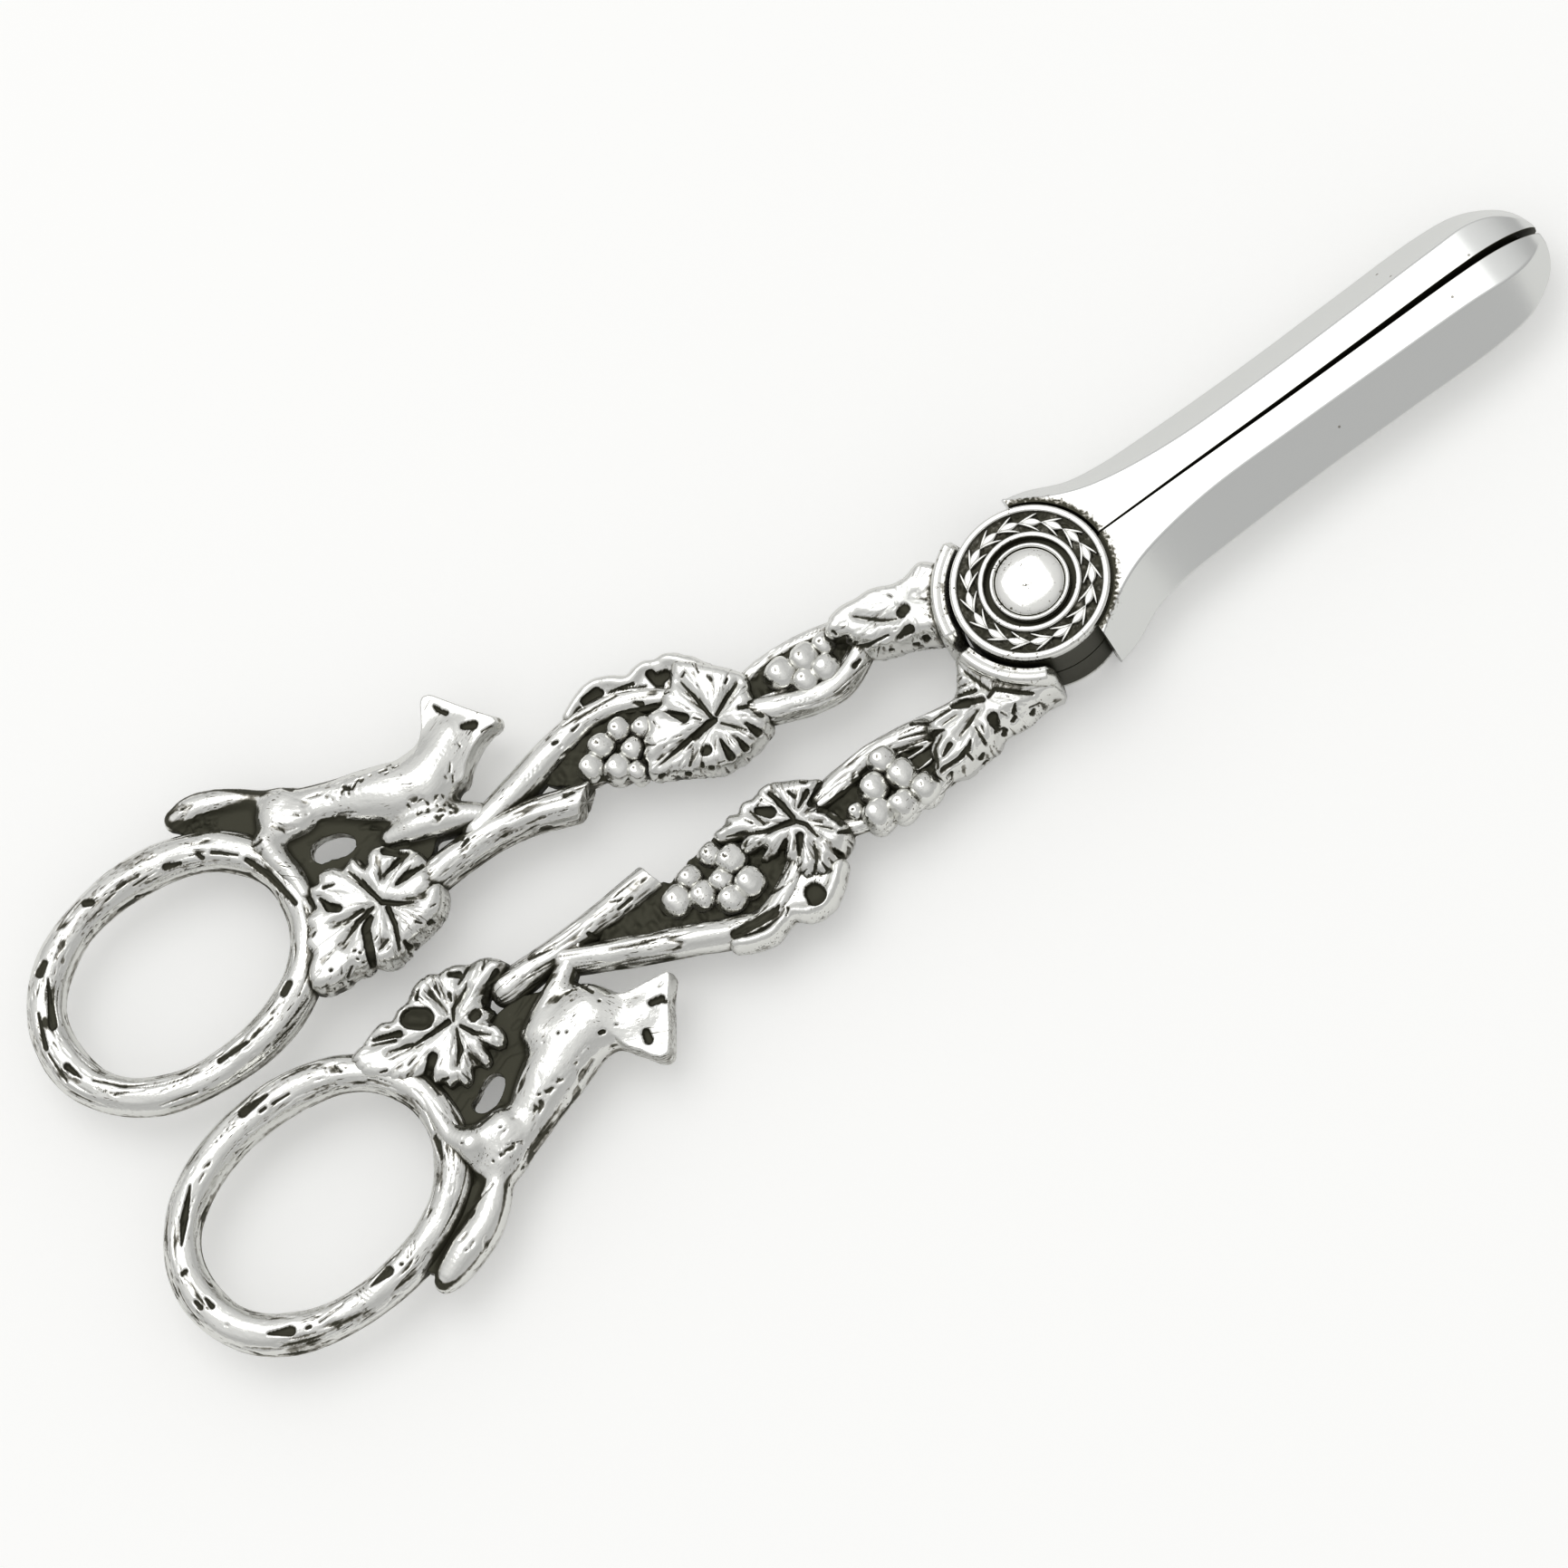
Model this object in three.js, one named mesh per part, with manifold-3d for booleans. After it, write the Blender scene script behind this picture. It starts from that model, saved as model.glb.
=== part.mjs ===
// Grape shears: two cast arms, each a fox running along a fruiting vine, that cross at a
// laurel-wreath pivot and carry a pair of thick tapered blades. Millimetres, +Z up.
// X runs along the closed blades towards their tips. The shears lie on the flat back of
// the pivot, and the origin is the pivot axis in that plane.

import * as THREE from "three";
import { mergeVertices } from "three/addons/utils/BufferGeometryUtils.js";
import Module from "manifold-3d";

const wasm = await Module();
wasm.setup();

// Clearances and overrun
const seatClearance = 0.3;
const lapClearance = 0.3;
const cutOverrun = 1;

// Pivot
const jointDiameter = 17;
const plateThickness = 4.25;
const bossHeight = 1;
const bossFloorHeight = 0.5;
const rimWidth = 0.6;
const innerMouldingWidth = 0.7;
const mouldingRise = 0.1;
const screwHeadDiameter = 9.2;
const screwHeadRise = 1.6;
const screwBeadWidth = 0.5;
const shankDiameter = 4.8;
const nutDiameter = 9;
const nutHeight = 2.4;
const nutFloor = 0.6;
const spannerHoleDiameter = 1.2;
const spannerHoleDepth = 0.7;
const spannerHoleSpacing = 6;
const sprigCount = 16;
const sprigLeafLength = 1.7;
const sprigLeafWidth = 0.8;
const sprigLeafHeight = 0.4;
const sideLeafLength = 1.5;
const sideLeafWidth = 0.3;
const sideLeafSpread = 38;

// Blades
const bladeLength = 64.2;
const bladeThickness = 9.4;
const bladeWidth = 7.3;
const bladeFlatWidth = 3.2;
const slitAngle = 0.72;
const ribHeight = 1.2;
const ribThickness = 1.6;
const ribRoot = 12;
const ribEnd = 59;

// Collars that carry the arms round the pivot
const collarWidth = 2.1;
const collarCrownDrop = 0.7;
const frontCollarStartAngle = 113;
const frontCollarEndAngle = 179;
const backCollarStartAngle = 186;
const backCollarEndAngle = 248.5;

// Arms: the sizes of the castings are shares of the arm's reach, so that they keep together
const armReach = 100;
const wireDiameterShare = 0.043;
const fingerHoleLengthShare = 0.26;
const fingerHoleWidthShare = 0.193;
const caneDiameterShare = 0.039;
const shootDiameterShare = 0.034;
const forkDiameterShare = 0.03;
const tendrilDiameterShare = 0.015;
const leafSpanShare = 0.08;
const leafThicknessShare = 0.054;
const shoulderThicknessShare = 0.082;
const grapeDiameterShare = 0.025;
const grapeDepthShare = 0.044;
const grapeBedThicknessShare = 0.018;
const foxGirthShare = 0.07;
const tailDiameterShare = 0.037;
const legDiameterShare = 0.026;
const headDiameterShare = 0.046;
const earSizeShare = 0.034;
const webThicknessShare = 0.018;

// Facets
const discSteps = 40;
const domeSteps = 3;
const holeSides = 12;
const barSides = 8;
const thinBarSides = 6;
const ringSteps = 36;
const leafSteps = 34;
const berrySides = 8;
const berryBands = 5;

// Shares that shape the castings
const barEndShare = 0.8;
const barTipShare = 0.5;
const foxDepthShare = 0.85;
const earDepthShare = 0.5;
const earRootSpreadShare = 0.25;
const earTipSpreadShare = 0.4;
const earTipShare = 0.2;
const ringSquareness = 0.93;
const lobeFallShare = 0.62;
const lobeFallPower = 1.4;
const valleyFloorShare = 0.78;
const valleyWidth = 0.25;
const hubHeightShare = 0.8;
const leafLevelShares = [[0.6, 0.93], [1, 0.5]];

const plateRadius = jointDiameter / 2;
const socketRadius = plateRadius + seatClearance;
const lapFace = lapClearance / 2;
const plateTop = lapFace + plateThickness;
const bossTop = plateTop + bossHeight;
const backDepth = bossTop;
const halfBlade = bladeThickness / 2;
const shankRadius = shankDiameter / 2;
const headRadius = screwHeadDiameter / 2;
const nutRadius = nutDiameter / 2;
const wireDiameter = armReach * wireDiameterShare;
const fingerHoleLength = armReach * fingerHoleLengthShare;
const fingerHoleWidth = armReach * fingerHoleWidthShare;
const caneDiameter = armReach * caneDiameterShare;
const shootDiameter = armReach * shootDiameterShare;
const forkDiameter = armReach * forkDiameterShare;
const tendrilDiameter = armReach * tendrilDiameterShare;
const leafSpan = armReach * leafSpanShare;
const leafThickness = armReach * leafThicknessShare;
const shoulderThickness = armReach * shoulderThicknessShare;
const grapeDiameter = armReach * grapeDiameterShare;
const grapeDepth = armReach * grapeDepthShare;
const grapeBedThickness = armReach * grapeBedThicknessShare;
const foxGirth = armReach * foxGirthShare;
const tailDiameter = armReach * tailDiameterShare;
const legDiameter = armReach * legDiameterShare;
const headDiameter = armReach * headDiameterShare;
const earSize = armReach * earSizeShare;
const webThickness = armReach * webThicknessShare;

// Each finish of the shears: polished silver, darker oxidised silver, and the bright silver of the blades
const polished = new THREE.MeshStandardMaterial({ color: 0xd9d9d4, roughness: 0.2, metalness: 1 });
const oxidised = new THREE.MeshStandardMaterial({ color: 0xa8a69c, roughness: 0.35, metalness: 1 });
const bladeSilver = new THREE.MeshStandardMaterial({ color: 0xcfd0cc, roughness: 0.16, metalness: 1 });

// Solids from closed three.js geometry, and back again

function solidOf(geometry) {
  const bare = geometry.clone();
  bare.deleteAttribute("normal");
  bare.deleteAttribute("uv");
  const merged = mergeVertices(bare);
  const vertProperties = new Float32Array(merged.attributes.position.array);
  const triVerts = new Uint32Array(merged.index.array);
  return new wasm.Manifold(new wasm.Mesh({ numProp: 3, vertProperties, triVerts }));
}

function geometryOf(solid) {
  const { vertProperties, triVerts } = solid.getMesh();
  const geometry = new THREE.BufferGeometry();
  geometry.setAttribute("position", new THREE.BufferAttribute(new Float32Array(vertProperties), 3));
  geometry.setIndex(new THREE.BufferAttribute(new Uint32Array(triVerts), 1));
  const faceted = geometry.toNonIndexed();
  faceted.computeVertexNormals();
  return faceted;
}

function joined(solids) {
  return solids.reduce((whole, solid) => whole.add(solid));
}

// Closes a lathe's or a sphere's seam and poles, without the faces that collapse there
function welded(geometry) {
  const bare = geometry.clone();
  bare.deleteAttribute("normal");
  bare.deleteAttribute("uv");
  const closed = mergeVertices(bare);
  const index = closed.index.array;
  const kept = [];
  for (let face = 0; face < index.length; face += 3) {
    const [a, b, c] = [index[face], index[face + 1], index[face + 2]];
    if (a !== b && b !== c && c !== a) {
      kept.push(a, b, c);
    }
  }
  closed.setIndex(kept);
  return outward(closed);
}

// A closed skin over a row of rings that all have as many points. The row closes on itself
// as a loop, or ends in a flat cap at each end.
function loft(rings, loop = false) {
  const sides = rings[0].length;
  const points = rings.flat();
  const faces = [];
  const rows = loop ? rings.length : rings.length - 1;
  for (let row = 0; row < rows; row += 1) {
    const next = (row + 1) % rings.length;
    for (let side = 0; side < sides; side += 1) {
      const turn = (side + 1) % sides;
      const a = row * sides + side;
      const b = row * sides + turn;
      const c = next * sides + turn;
      const d = next * sides + side;
      faces.push(a, b, c, a, c, d);
    }
  }
  if (!loop) {
    const last = (rings.length - 1) * sides;
    for (let side = 1; side < sides - 1; side += 1) {
      faces.push(0, side + 1, side);
      faces.push(last, last + side, last + side + 1);
    }
  }
  const geometry = new THREE.BufferGeometry();
  geometry.setAttribute("position", new THREE.Float32BufferAttribute(points.flatMap((p) => p.toArray()), 3));
  geometry.setIndex(faces);
  return solidOf(outward(geometry));
}

// Turns a closed geometry the right way round if its volume comes out negative
function outward(geometry) {
  const place = geometry.attributes.position;
  const index = geometry.index.array;
  const [a, b, c] = [new THREE.Vector3(), new THREE.Vector3(), new THREE.Vector3()];
  let volume = 0;
  for (let face = 0; face < index.length; face += 3) {
    a.fromBufferAttribute(place, index[face]);
    b.fromBufferAttribute(place, index[face + 1]);
    c.fromBufferAttribute(place, index[face + 2]);
    volume += a.dot(b.cross(c));
  }
  if (volume < 0) {
    geometry.setIndex(Array.from(index).reverse());
  }
  return geometry;
}

// A round bar through hand-chosen points: x, y and z in shares of the arm's reach, then a share
// of the bar's diameter. Its ends are domed, and every radius is let out by grow.
function bar(shares, diameter, grow = 0, sides = barSides, flatness = 1) {
  const centres = shares.map(([x, y, z = 0]) => new THREE.Vector3(x, y, z).multiplyScalar(armReach));
  const curve = new THREE.CatmullRomCurve3(centres, false, "centripetal");
  const radii = shares.map((share) => (share[3] ?? 1) * diameter / 2 + grow);
  const spans = shares.length - 1;
  const rings = [];
  const up = new THREE.Vector3(0, 0, 1);
  function addRing(t, backset, shrink) {
    const tangent = curve.getTangent(t);
    const side = new THREE.Vector3().crossVectors(up, tangent).normalize();
    const lift = new THREE.Vector3().crossVectors(tangent, side);
    const radius = radii[Math.round(t * spans)];
    const centre = curve.getPoint(t).addScaledVector(tangent, backset * radius);
    const ring = [];
    for (let k = 0; k < sides; k += 1) {
      const angle = (k + 0.5) / sides * 2 * Math.PI;
      const point = centre.clone();
      point.addScaledVector(side, Math.cos(angle) * radius * shrink);
      point.addScaledVector(lift, Math.sin(angle) * radius * shrink * flatness);
      ring.push(point);
    }
    rings.push(ring);
  }
  addRing(0, -barEndShare, barTipShare);
  for (let step = 0; step <= spans; step += 1) {
    addRing(step / spans, 0, 1);
  }
  addRing(1, barEndShare, barTipShare);
  return loft(rings);
}

function disc(radius, low, high) {
  return turned([[0, low], [radius, low], [radius, high], [0, high]]);
}

// A solid of revolution about the pivot axis, from a profile of radius and height
function turned(profile) {
  const points = profile.map(([radius, height]) => new THREE.Vector2(radius, height));
  if (profile[0][0] > 0) {
    points.push(points[0].clone());
  }
  const geometry = new THREE.LatheGeometry(points, discSteps);
  geometry.rotateX(Math.PI / 2);
  return solidOf(welded(geometry));
}

// A block between two corners, turned about the pivot axis by some degrees
function block([x0, y0, z0], [x1, y1, z1], degrees) {
  const geometry = new THREE.BoxGeometry(x1 - x0, y1 - y0, z1 - z0);
  geometry.translate((x0 + x1) / 2, (y0 + y1) / 2, (z0 + z1) / 2);
  geometry.rotateZ(THREE.MathUtils.degToRad(degrees));
  return solidOf(geometry);
}

// The corners of an outline given in shares of the arm's reach, always anticlockwise
function outlineOf(shares) {
  const corners = shares.map(([x, y]) => new THREE.Vector2(x, y).multiplyScalar(armReach));
  return THREE.ShapeUtils.isClockWise(corners) ? corners.reverse() : corners;
}

// A flat plate centred on the mid-plane, from an outline in shares of the arm's reach
function plate(outlineShares, thickness, grow = 0, holeShares = null) {
  const shape = new THREE.Shape(outlineOf(outlineShares));
  if (holeShares) {
    shape.holes.push(new THREE.Path(outlineOf(holeShares)));
  }
  const depth = thickness + 2 * grow;
  const geometry = new THREE.ExtrudeGeometry(shape, { depth, bevelEnabled: false });
  geometry.translate(0, 0, -depth / 2);
  return solidOf(geometry);
}

// The egg-shaped loop for a thumb or finger
function fingerRing(arm, grow = 0) {
  const [x, y, lengthShare, widthShare, tilt] = arm.ringShares;
  const longRadius = (fingerHoleLength * lengthShare + wireDiameter) / 2;
  const shortRadius = (fingerHoleWidth * widthShare + wireDiameter) / 2;
  const wireRadius = wireDiameter / 2 + grow;
  const centre = new THREE.Vector3(x, y, 0).multiplyScalar(armReach);
  const axis = new THREE.Vector3(0, 0, 1);
  const turn = THREE.MathUtils.degToRad(tilt);
  const rings = [];
  for (let step = 0; step < ringSteps; step += 1) {
    const angle = step / ringSteps * 2 * Math.PI;
    const along = squared(Math.cos(angle)) * longRadius;
    const across = squared(Math.sin(angle)) * shortRadius;
    const spot = new THREE.Vector3(along, across, 0);
    const out = new THREE.Vector3(Math.cos(angle) / longRadius, Math.sin(angle) / shortRadius, 0).normalize();
    const ring = [];
    for (let k = 0; k < barSides; k += 1) {
      const round = (k + 0.5) / barSides * 2 * Math.PI;
      const point = spot.clone().addScaledVector(out, Math.cos(round) * wireRadius);
      point.z += Math.sin(round) * wireRadius;
      ring.push(point.applyAxisAngle(axis, turn).add(centre));
    }
    rings.push(ring);
  }
  return loft(rings, true);
}

// Fills out an ellipse slightly towards a rounded oblong
function squared(value) {
  return Math.sign(value) * Math.abs(value) ** ringSquareness;
}

// A lobed vine leaf that wraps both faces of the arm: a low mound that thins to its rim, with
// a valley down the middle of each lobe. Lobes are given by their tips, from the hub.
function vineLeaf({ hubShare, tipShares }, thickness, grow = 0) {
  const hub = new THREE.Vector3(hubShare[0], hubShare[1], 0).multiplyScalar(armReach);
  const lobes = tipShares.map(([x, y]) => ({ reach: Math.hypot(x, y) * leafSpan, aim: Math.atan2(y, x) }));
  const turn = 2 * Math.PI;
  function apart(a, b) {
    return Math.abs(((a - b + 3 * Math.PI) % turn) - Math.PI);
  }
  function rimReach(angle) {
    const falls = lobes.map((lobe) => lobeFallShare * apart(angle, lobe.aim) ** lobeFallPower);
    return Math.max(...lobes.map((lobe, index) => lobe.reach * (1 - falls[index]))) + grow;
  }
  function valley(angle) {
    const nearest = Math.min(...lobes.map((lobe) => apart(angle, lobe.aim)));
    return THREE.MathUtils.lerp(valleyFloorShare, 1, Math.min(1, nearest / valleyWidth));
  }
  const hubHeight = thickness / 2 * hubHeightShare + grow;
  const positions = [hub.x, hub.y, hubHeight, hub.x, hub.y, -hubHeight];
  for (const face of [1, -1]) {
    for (const [outShare, heightShare] of leafLevelShares) {
      for (let step = 0; step < leafSteps; step += 1) {
        const angle = step / leafSteps * turn;
        const reach = rimReach(angle) * outShare;
        const height = thickness / 2 * heightShare * valley(angle) + grow;
        positions.push(hub.x + Math.cos(angle) * reach, hub.y + Math.sin(angle) * reach, face * height);
      }
    }
  }
  const faces = [];
  const levels = leafLevelShares.length;
  const vertex = (side, level, step) => 2 + (side * levels + level) * leafSteps + step % leafSteps;
  for (let step = 0; step < leafSteps; step += 1) {
    faces.push(0, vertex(0, 0, step), vertex(0, 0, step + 1));
    faces.push(1, vertex(1, 0, step + 1), vertex(1, 0, step));
    for (let level = 0; level < levels - 1; level += 1) {
      for (const side of [0, 1]) {
        const quad = [vertex(side, level, step), vertex(side, level + 1, step)];
        quad.push(vertex(side, level + 1, step + 1), vertex(side, level, step + 1));
        const [a, b, c, d] = side === 0 ? quad : quad.reverse();
        faces.push(a, b, c, a, c, d);
      }
    }
    const [a, b] = [vertex(0, levels - 1, step), vertex(1, levels - 1, step)];
    const [c, d] = [vertex(1, levels - 1, step + 1), vertex(0, levels - 1, step + 1)];
    faces.push(a, b, c, a, c, d);
  }
  const geometry = new THREE.BufferGeometry();
  geometry.setAttribute("position", new THREE.Float32BufferAttribute(positions, 3));
  geometry.setIndex(faces);
  return solidOf(outward(geometry));
}

// A bunch of grapes on a thin bed that ties them together and closes the gap between stems
function grapes({ berryShares, bedShares }, grow = 0) {
  const solids = [plate(bedShares, grapeBedThickness, grow)];
  for (const [x, y, sizeShare] of berryShares) {
    const radius = grapeDiameter / 2 * sizeShare + grow;
    const berry = new THREE.SphereGeometry(1, berrySides, berryBands);
    berry.rotateX(Math.PI / 2);
    berry.scale(radius, radius, grapeDepth / 2 * Math.sqrt(sizeShare) + grow);
    berry.translate(x * armReach, y * armReach, 0);
    solids.push(solidOf(welded(berry)));
  }
  return joined(solids);
}

// The running fox: body, tail, legs, neck, head and two ears, on the web that carries it
function fox(arm, grow = 0) {
  const shares = arm.foxShares;
  const solids = [
    bar(shares.bodyShares, foxGirth, grow, barSides, foxDepthShare),
    bar(shares.tailShares, tailDiameter, grow),
    bar(shares.hindLegShares, legDiameter, grow, thinBarSides),
    bar(shares.foreLegShares, legDiameter, grow, thinBarSides),
    bar(shares.headShares, headDiameter, grow),
    plate(shares.tailWebShares, webThickness, grow),
    plate(shares.bellyWebShares, webThickness, grow, shares.bellyHoleShares),
  ];
  for (const side of [1, -1]) {
    const [rootX, rootY, tipX, tipY] = shares.earShares;
    const root = [rootX, rootY, side * headDiameterShare * earRootSpreadShare, 1];
    const tip = [tipX, tipY, side * headDiameterShare * earTipSpreadShare, earTipShare];
    solids.push(bar([root, tip], earSize, grow, thinBarSides, earDepthShare));
  }
  return joined(solids);
}

// The forked shoots that part round the upper bunch and meet again at the shoulder
function forkedShoots(arm, grow = 0) {
  return joined(arm.forkShares.map((shares) => bar(shares, forkDiameter, grow)));
}

// The rounded band that hugs the joint plates between two bearings, in degrees
function collar(start, end, grow = 0) {
  const inner = socketRadius - grow;
  const outer = socketRadius + collarWidth + grow;
  const crown = halfBlade + grow;
  const shoulder = crown - collarCrownDrop;
  const middle = (inner + outer) / 2;
  const profile = [[inner, -shoulder], [middle, -crown], [outer, -shoulder]];
  profile.push([outer, shoulder], [middle, crown], [inner, shoulder]);
  const sweep = end - start;
  const steps = Math.ceil(sweep / 360 * discSteps);
  const spill = THREE.MathUtils.radToDeg(grow / outer);
  const rings = [];
  for (let step = 0; step <= steps; step += 1) {
    const bearing = start - spill + (sweep + 2 * spill) * step / steps;
    const angle = THREE.MathUtils.degToRad(bearing);
    const around = ([radius, height]) =>
      new THREE.Vector3(Math.cos(angle) * radius, Math.sin(angle) * radius, height);
    rings.push(profile.map(around));
  }
  return loft(rings);
}

// Half-hexagon blade sections from root to nose: shares of the blade's length, of its top
// flat, of its width and of its half thickness
const bladeStationShares = [
  [0.047, 2.9, 1.53, 1.06],
  [0.09, 2.3, 1.44, 1.06],
  [0.15, 1.7, 1.19, 1.06],
  [0.21, 1.34, 1.09, 1.05],
  [0.32, 1.03, 1.035, 1.03],
  [0.5, 0.97, 1, 0.98],
  [0.68, 0.99, 1.005, 0.98],
  [0.84, 1.03, 1, 0.98],
  [0.9, 1.05, 0.93, 0.95],
  [0.935, 1, 0.8, 0.78],
  [0.968, 0.75, 0.62, 0.55],
  [0.99, 0.5, 0.42, 0.32],
  [1, 0.25, 0.2, 0.13],
];

// The bare blade on one side of the slit, +1 over +Y and -1 over -Y, opened by half the slit
function bladeBody(side) {
  const half = THREE.MathUtils.degToRad(side * slitAngle / 2);
  const axis = new THREE.Vector3(0, 0, 1);
  const rings = bladeStationShares.map(([alongShare, flatShare, widthShare, heightShare]) => {
    const x = bladeLength * alongShare;
    const flat = bladeFlatWidth * flatShare;
    const width = bladeWidth * widthShare;
    const top = halfBlade * heightShare;
    const outline = [[0, -top], [flat, -top], [width, 0], [flat, top], [0, top]];
    return outline.map(([y, z]) => new THREE.Vector3(x, side * y, z).applyAxisAngle(axis, half));
  });
  return loft(rings);
}

// The cutting rib on the front blade's inner face, or with grow the channel that takes it
function rib(side, grow = 0) {
  const half = ribThickness / 2 + grow;
  const low = [ribRoot - grow, -ribHeight - grow, -half];
  const high = [ribEnd + grow, ribHeight + grow, half];
  return block(low, high, side * slitAngle / 2);
}

function frontBlade() {
  const far = bladeThickness;
  const bore = disc(shankRadius + seatClearance, lapFace - cutOverrun, plateTop + cutOverrun);
  return bladeBody(-1)
    .add(rib(-1))
    .subtract(disc(socketRadius, -far, lapFace))
    .subtract(disc(socketRadius, plateTop, far))
    .add(disc(plateRadius, lapFace, plateTop))
    .subtract(bore);
}

function backBlade() {
  const far = bladeThickness;
  const bore = disc(shankRadius + seatClearance, -plateTop - cutOverrun, cutOverrun - lapFace);
  const pocketTop = nutHeight + seatClearance - backDepth;
  const nutPocket = disc(nutRadius + seatClearance, -plateTop - cutOverrun, pocketTop);
  return bladeBody(1)
    .subtract(rib(1, seatClearance))
    .subtract(disc(socketRadius, -lapFace, far))
    .subtract(disc(socketRadius, -far, -plateTop))
    .add(disc(plateRadius, -plateTop, -lapFace))
    .subtract(bore)
    .subtract(nutPocket);
}

// The raised boss: a rim and an inner moulding with a sunk band of laurel between them
function wreathBoss() {
  const inner = headRadius + seatClearance;
  const mould = inner + innerMouldingWidth;
  const rim = plateRadius - rimWidth;
  const floor = plateTop + bossFloorHeight;
  const ring = turned([
    [inner, plateTop],
    [plateRadius, plateTop],
    [plateRadius, bossTop - mouldingRise],
    [plateRadius - rimWidth / 3, bossTop],
    [rim, bossTop - mouldingRise],
    [rim, floor],
    [mould, floor],
    [mould, bossTop - mouldingRise],
    [(inner + mould) / 2, bossTop + mouldingRise],
    [inner, bossTop - mouldingRise],
  ]);
  const middle = (mould + rim) / 2;
  const solids = [ring];
  for (let count = 0; count < sprigCount; count += 1) {
    const bearing = count / sprigCount * 360;
    solids.push(sprigLeaf(bearing, middle, sprigLeafLength, sprigLeafWidth, 0, 0));
    for (const side of [1, -1]) {
      const out = middle + side * sideLeafLength / 4;
      const ahead = sprigLeafLength / 3;
      solids.push(sprigLeaf(bearing, out, sideLeafLength, sideLeafWidth, side, ahead));
    }
  }
  return joined(solids);
}

// One carved leaf of the wreath, laid along the band, or spread to one side of it
function sprigLeaf(bearing, radius, length, width, side, advance) {
  const leaf = new THREE.OctahedronGeometry(1);
  leaf.scale(length / 2, width / 2, sprigLeafHeight);
  leaf.rotateZ(THREE.MathUtils.degToRad(90 + side * sideLeafSpread));
  leaf.translate(radius, advance, plateTop + bossFloorHeight);
  leaf.rotateZ(THREE.MathUtils.degToRad(bearing));
  return solidOf(leaf);
}

// The pivot screw: a domed head with a beaded edge, and the shank that both plates turn on
function pivotScrew() {
  const bottom = nutFloor + seatClearance - backDepth;
  const domeEdge = headRadius - screwBeadWidth;
  const domeTop = plateTop + screwHeadRise;
  const profile = [
    [0, bottom],
    [shankRadius, bottom],
    [shankRadius, plateTop],
    [headRadius, plateTop],
    [headRadius, bossTop - mouldingRise],
    [headRadius - screwBeadWidth / 2, bossTop + mouldingRise],
    [domeEdge, bossTop - mouldingRise],
  ];
  for (let step = 1; step <= domeSteps; step += 1) {
    const angle = step / domeSteps * Math.PI / 2;
    const rise = domeTop - bossTop;
    profile.push([domeEdge * Math.cos(angle), bossTop + rise * Math.sin(angle)]);
  }
  profile[profile.length - 1][0] = 0;
  return turned(profile);
}

// The round back nut, blind so that the shank is hidden, with two holes for a pin spanner
function pivotNut() {
  const top = nutHeight - backDepth;
  const bore = shankRadius + seatClearance;
  let nut = turned([
    [0, -backDepth],
    [nutRadius, -backDepth],
    [nutRadius, top],
    [bore, top],
    [bore, nutFloor - backDepth],
    [0, nutFloor - backDepth],
  ]);
  for (const side of [1, -1]) {
    const radius = spannerHoleDiameter / 2;
    const hole = new THREE.CylinderGeometry(radius, radius, spannerHoleDepth * 2, holeSides);
    hole.rotateX(Math.PI / 2);
    hole.translate(side * spannerHoleSpacing / 2, 0, -backDepth);
    nut = nut.subtract(solidOf(hole));
  }
  return nut;
}

// The plain moulded washer on the back plate, which the shears lie on
function backBoss() {
  const inner = nutRadius + seatClearance;
  return turned([
    [inner, -backDepth],
    [plateRadius - rimWidth, -backDepth],
    [plateRadius, rimWidth - backDepth],
    [plateRadius, -plateTop],
    [inner, -plateTop],
  ]);
}

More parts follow.
